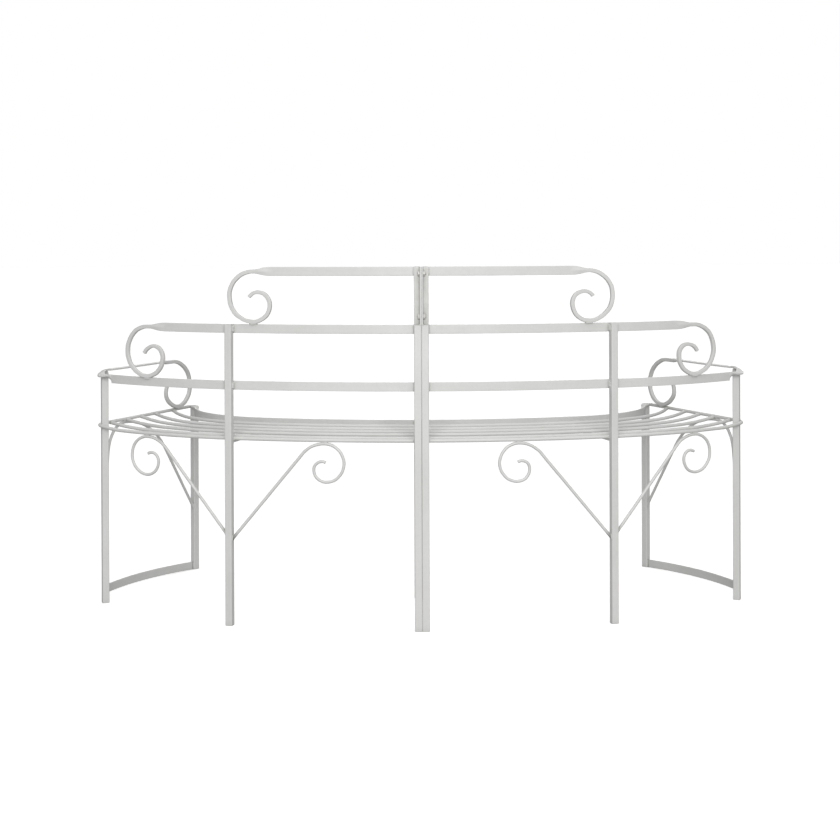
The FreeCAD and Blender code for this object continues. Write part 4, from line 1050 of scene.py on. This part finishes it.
    # arched braces under the end of the seat
    def foot_ring(s, f, plane_point, plane_n, r=1.3):
        pts_ = [f[0] + f[2] * math.cos(2 * PI * i / 28) * (BD / 2 + 0.2) + f[3] * math.sin(2 * PI * i / 28) * (BD / 2 + 0.2) for i in range(28)]
        s.bead(list(Shells.on_plane(np.array(pts_), f[1], (plane_point, plane_n))), r, closed=True)

    edv, env = arr(ed[0], ed[1], 0), arr(en[0], en[1], 0)
    epv = arr(end_post[0], end_post[1], 0)
    s = Shells(seed0 + 42)
    top_e = 420.5 - RD / 2 - BD / 2
    meet = end_point(100.0, 11.5)
    az_b = math.degrees(math.atan2(meet[1] - end_post[1], meet[0] - end_post[0]))
    reach_b = math.dist(meet, end_post)
    dirb = arr(math.cos(rad(az_b)), math.sin(rad(az_b)), 0)
    p = Path(5.0, 276.0, 82.0)
    ARB = 75.0
    p.line((top_e - 276.0 - ARB * (1 - math.cos(rad(82.0)))) / math.sin(rad(82.0))).arc(ARB, -82.0)
    p.line(reach_b - 0.2 - p.x)
    fr = upright_frames(p.samples(tol=0.01, widest=5.0, longest=20.0), end_post[0], end_post[1], az_b)
    s.sweep(fr, disc(BD, 22), 0.6, 0.5)
    # the rod grazes the post's face, so its weld is a pair of long beads
    for o in (-1, 1):
        side_b = arr(dirb[1], -dirb[0], 0)
        s.bead([epv + dirb * 9.2 + side_b * o * 3.3 + UP * 284, epv + dirb * 9.6 + side_b * o * 3.3 + UP * 300, epv + dirb * 10.2 + side_b * o * 2.2 + UP * 312], 1.5)
    finish_piece(s, "end_arch_brace_back" + tag, side, "paint")

    s = Shells(seed0 + 43)
    az_f = math.degrees(math.atan2(meet[1] - leg[1], meet[0] - leg[0]))
    reach_f = math.dist(meet, leg)
    rf, slope = 210.0, 53.4
    # measured from the leg: a straight run, one wide bend, level at the apex
    sx, sz = reach_f - rf * math.sin(rad(slope)), top_e - rf * (1 - math.cos(rad(slope)))
    run = (sx - 3.0) / math.cos(rad(slope))
    p = Path(3.0, sz - run * math.sin(rad(slope)), slope)
    p.line(run).arc(rf, -slope)
    fr = upright_frames(p.samples(tol=0.01, widest=4.0, longest=25.0), leg[0], leg[1], az_f)
    s.sweep(fr, disc(BD, 22), 0.4, 0.6)
    # the leg is turned 45 degrees: its face nearest the post takes the foot
    c45, s45 = math.cos(rad(45)), math.sin(rad(45))
    for n_ in (arr(c45, -s45, 0), arr(-c45, -s45, 0), arr(c45, s45, 0)):
        if float(np.dot(n_, -edv)) > 0.9:
            foot_ring(s, fr[0], arr(leg[0], leg[1], 0) + n_ * (T / 2 + 0.3), n_)
    for o in (-1, 1):
        q = end_point(100.0, 11.5 + o * 2.4)
        s.bead(stop_line(arr(q[0], q[1], 416.6), edv, 8.0), 1.5)
    finish_piece(s, "end_arch_brace_front" + tag, side, "paint")

    # stretcher: bowed flat bar on edge near the floor
    s = Shells(seed0 + 44)
    bow, s_long, rise_ = 22.0, END_LONG - 8.0, 22.0
    srad = (s_long * s_long / 4 + bow * bow) / (2 * bow)
    half_a = math.degrees(math.asin(s_long / 2 / srad))
    p = Path(4.0, 0.0, -half_a).arc(srad, 2 * half_a)
    fall = math.atan2(rise_, s_long)
    # sketch x runs down along the end line, sketch y points inward
    xs = edv * math.cos(fall) - UP * math.sin(fall)
    ys = -env
    zs = UP * math.cos(fall) + edv * math.sin(fall)
    origin = epv + UP * (rise_ + 0.3)
    fr = []
    for x, y, h in p.samples():
        c, q = math.cos(rad(h)), math.sin(rad(h))
        P = origin + xs * x + ys * y + zs * (BH / 2)
        fr.append((P, xs * c + ys * q, ys * c - xs * q, zs.copy()))
    cut0 = (epv + edv * (T / 2 - 0.8), edv)
    n_leg = arr(c45, -s45, 0)
    cut1 = (arr(leg[0], leg[1], 0) + n_leg * (T / 2 - 0.8), n_leg)
    s.sweep(fr, rounded(BT, BH, 0.9, 4), 0, 0, cut0=cut0, cut1=cut1)
    for f, plane in ((fr[0], (epv + edv * 9.4, edv)), (fr[-1], (arr(leg[0], leg[1], 0) + n_leg * (T / 2 + 0.3), n_leg))):
        for o in (-1, 1):
            l = np.array([f[0] + f[2] * o * 2.4 + f[3] * w for w in (-8.5, 0, 8.5)])
            s.bead(list(Shells.on_plane(l, f[1], plane)), 1.6)
    finish_piece(s, "end_stretcher" + tag, side, "paint")

    # bolted angle above the centre post
    s = Shells(seed0 + 45)
    AS, AWL = 16.0, 3.5

    def soft(pts, radii, n=4):
        out_ = []
        m = len(pts)
        for i in range(m):
            p_, a_, b_ = np.array(pts[i], float), np.array(pts[i - 1], float), np.array(pts[(i + 1) % m], float)
            u_, v_ = unit(a_ - p_), unit(b_ - p_)
            half = math.acos(float(np.dot(u_, v_))) / 2
            r_ = radii[i]
            tl_ = r_ / math.tan(half)
            ctr = p_ + unit(u_ + v_) * (r_ / math.sin(half))
            s_, e_ = p_ + u_ * tl_ - ctr, p_ + v_ * tl_ - ctr
            ang_ = math.acos(max(-1, min(1, float(np.dot(unit(s_), unit(e_))))))
            for j in range(n + 1):
                w_ = j / float(n)
                out_.append(ctr + (s_ * math.sin((1 - w_) * ang_) + e_ * math.sin(w_ * ang_)) / math.sin(ang_))
        return np.array(out_)

    outline = soft([(0, -AS), (AWL, -AS), (AWL, -AWL), (AS, -AWL), (AS, 0), (0, 0)], [0.8, 1.4, 2.0, 1.4, 0.8, 0.7])
    fr = [(arr(AG, YB, 666.0 + 126.5 * i / 8.0), UP.copy(), arr(1, 0, 0), arr(0, 1, 0)) for i in range(9)]
    s.sweep(fr, outline, 0.3, 0.6)
    # weld round its foot, on the post's top
    foot = [(G + 0.6, YB - AS + 0.3), (G + AWL + 0.2, YB - AS + 0.4), (G + AWL + 0.6, YB - 9), (G + AWL + 1.2, YB - AWL - 1.0), (G + 9, YB - AWL - 0.5), (G + AS - 0.6, YB - AWL + 0.1), (G + AS + 0.1, YB - 0.8)]
    s.bead([arr(x, y, 666.2) for x, y in foot], 1.7)
    # the angle takes the coat with the deeper painted shade in its corners
    finish_piece(s, "centre_upper_angle" + tag, side, "paint_corner_shaded")


# where the slats lie between the rim rod and the front rail
SLAT_AT = (0.14, 0.33, 0.50, 0.66, 0.835)
# how far the armrest banks outward over the end post, degrees
BANK = 25.0
build_half(1)
build_half(-1)

# ------------------------------------------------------------------ fasteners
bolt_y = YB - 9.95
face = AG + 3.5
hex_in = 5.0


def hexed(q):
    k = (q + PI / 6) % (PI / 3) - PI / 6
    return hex_in / math.cos(k)


for node, kind in (("joining_bolts", "bolt"), ("joining_nuts", "nut")):
    s = Shells(900 if kind == "bolt" else 901)
    for z, spin in ((684.0, 0.2), (778.0, -0.35)):
        def shape(q, spin=spin):
            return hexed(q + spin)

        if kind == "bolt":
            hh = 4.0
            # head: from its bearing face outward, corners chamfered
            rows = [(0.0, 4.7), (0.15, 5.0), (0.35, 6.2), (2.9, 6.2), (3.45, 5.35), (3.85, 4.6), (4.0, 4.1)]
            s.lathe(arr(-face, bolt_y, z), arr(-1, 0, 0), rows, 48, shape)
            # threaded shank
            length, pitch = 2 * face + 7.0, 1.0
            rows = [(-0.3, 2.6), (0.0, 2.9)]
            x = 0.0
            while x < length - 1.2:
                rows += [(x + 0.12, 2.52), (x + 0.42, 2.98), (x + 0.58, 2.98), (x + 0.88, 2.52)]
                x += pitch
            rows += [(length - 0.7, 2.6), (length, 2.15)]
            s.lathe(arr(-face - 0.2, bolt_y, z), arr(1, 0, 0), rows, 28)
        else:
            # nut: chamfered both ends, bored for the thread
            n = 48
            prof = [(0.0, 4.55), (0.5, 5.45), (0.9, 6.2), (4.1, 6.2), (4.5, 5.45), (5.0, 4.55)]
            idx = []
            for along, r in prof:
                pts = []
                for i in range(n):
                    q = 2 * PI * i / n
                    rr = min(r, shape(q))
                    pts.append(arr(face + along, bolt_y - rr * math.cos(q), z + rr * math.sin(q)))
                idx.append(s.ring(pts))
            for along, r in ((5.0, 3.5), (4.5, 3.02), (0.5, 3.02), (0.0, 3.5)):
                idx.append(s.ring([arr(face + along, bolt_y - r * math.cos(2 * PI * i / n), z + r * math.sin(2 * PI * i / n)) for i in range(n)]))
            for p, q in zip(idx, idx[1:] + idx[:1]):
                s.bridge(p, q)
    ob = finish_piece(s, node, 1, "plated")

# ------------------------------------------------------------------ stage
me = bpy.data.meshes.new("floor_mesh")
me.from_pydata([(-40, -40, 0), (40, -40, 0), (40, 40, 0), (-40, 40, 0)], [], [(0, 1, 2, 3)])
floor = bpy.data.objects.new("floor", me)
bpy.context.scene.collection.objects.link(floor)
fm = bpy.data.materials.new("pale_floor")
fm.use_nodes = True
ft = fm.node_tree
ft.nodes["Principled BSDF"].inputs["Base Color"].default_value = (0.93, 0.93, 0.925, 1)
ft.nodes["Principled BSDF"].inputs["Roughness"].default_value = 0.9
ft.nodes["Principled BSDF"].inputs["Specular IOR Level"].default_value = 0.1
ft.nodes["Principled BSDF"].inputs["Emission Color"].default_value = (1, 1, 1, 1)
ft.nodes["Principled BSDF"].inputs["Emission Strength"].default_value = 0.42
me.materials.append(fm)
floor.visible_diffuse = False
floor.visible_glossy = False

# pale backdrop, seen but not lighting the object
bpy.ops.mesh.primitive_uv_sphere_add(segments=32, ring_count=16, radius=55.0)
dome = bpy.context.object
dome.name = "backdrop"
dm = bpy.data.materials.new("pale_backdrop")
dm.use_nodes = True
dt = dm.node_tree
dt.nodes.clear()
do = dt.nodes.new("ShaderNodeOutputMaterial")
de = dt.nodes.new("ShaderNodeEmission")
de.inputs["Color"].default_value = (1, 1, 1, 1)
de.inputs["Strength"].default_value = 1.0
dt.links.new(de.outputs[0], do.inputs["Surface"])
dome.data.materials.append(dm)
for flag in ("visible_diffuse", "visible_glossy", "visible_transmission", "visible_volume_scatter", "visible_shadow"):
    setattr(dome, flag, False)

# soft surroundings: bright above, dimmer below
w = bpy.data.worlds.new("studio")
bpy.context.scene.world = w
w.use_nodes = True
wt = w.node_tree
wt.nodes.clear()
wo = wt.nodes.new("ShaderNodeOutputWorld")
bg = wt.nodes.new("ShaderNodeBackground")
tc = wt.nodes.new("ShaderNodeTexCoord")
sep = wt.nodes.new("ShaderNodeSeparateXYZ")
ramp = wt.nodes.new("ShaderNodeValToRGB")
mp = wt.nodes.new("ShaderNodeMapRange")
mp.inputs["From Min"].default_value = -1.0
mp.inputs["From Max"].default_value = 1.0
wt.links.new(tc.outputs["Generated"], sep.inputs[0])
wt.links.new(sep.outputs["Z"], mp.inputs["Value"])
wt.links.new(mp.outputs["Result"], ramp.inputs["Fac"])
ramp.color_ramp.elements[0].position = 0.42
ramp.color_ramp.elements[0].color = (0.32, 0.32, 0.315, 1)
ramp.color_ramp.elements[1].position = 0.60
ramp.color_ramp.elements[1].color = (0.37, 0.37, 0.37, 1)
wt.links.new(ramp.outputs["Color"], bg.inputs["Color"])
bg.inputs["Strength"].default_value = 1.0
wt.links.new(bg.outputs[0], wo.inputs["Surface"])


def sun(name, azimuth, elevation, strength, angle, colour=(1, 1, 1)):
    """Soft light from a direction; azimuth 0 comes from the camera's side."""
    l = bpy.data.lights.new(name, "SUN")
    l.energy = strength
    l.angle = rad(angle)
    l.color = colour
    o = bpy.data.objects.new(name, l)
    bpy.context.scene.collection.objects.link(o)
    a, e = rad(azimuth), rad(elevation)
    back = Vector((math.sin(a) * math.cos(e), -math.cos(a) * math.cos(e), math.sin(e)))
    o.rotation_mode = "QUATERNION"
    o.rotation_quaternion = back.to_track_quat("Z", "Y")
    return o


panel = bpy.data.lights.new("panel_front", "AREA")
panel.shape = "RECTANGLE"
panel.size, panel.size_y = 2.2, 1.3
panel.energy = 103.0
po = bpy.data.objects.new("panel_front", panel)
bpy.context.scene.collection.objects.link(po)
po.location = (0.10, -4.45, 1.55)
po.rotation_mode = "QUATERNION"
po.rotation_quaternion = (Vector(po.location) - Vector((0, -0.2, 0.45))).to_track_quat("Z", "Y")
po.visible_camera = False
sun("key_above", 8.0, 66.0, 0.80, 70.0)
sun("fill_front_side", 172.0, 16.0, 0.95, 50.0)

# ------------------------------------------------------------------ camera
cam_data = bpy.data.cameras.new("camera")
cam = bpy.data.objects.new("camera", cam_data)
bpy.context.scene.collection.objects.link(cam)
cam_data.lens = 66.143
cam_data.sensor_width = 36.0
cam_data.shift_x = 0.0
cam_data.shift_y = -0.2114
cam_data.clip_start, cam_data.clip_end = 0.05, 200.0
yaw, pitch, roll = rad(0.316), rad(0.210), rad(0.210)
fwd = Vector((math.sin(yaw) * math.cos(pitch), math.cos(yaw) * math.cos(pitch), -math.sin(pitch)))
right0 = Vector((math.cos(yaw), -math.sin(yaw), 0))
up0 = Vector((math.sin(yaw) * math.sin(pitch), math.cos(yaw) * math.sin(pitch), math.cos(pitch)))
rightv = right0 * math.cos(roll) - up0 * math.sin(roll)
upv = right0 * math.sin(roll) + up0 * math.cos(roll)
m = Matrix.Identity(4)
for i in range(3):
    m[i][0], m[i][1], m[i][2] = rightv[i], upv[i], -fwd[i]
m[0][3], m[1][3], m[2][3] = -0.0208, -3.3595 - 0.3172, 0.8576
cam.matrix_world = m
bpy.context.scene.camera = cam
bpy.context.scene.view_settings.view_transform = "Standard"

print("faces", sum(len(o.data.polygons) for o in made))
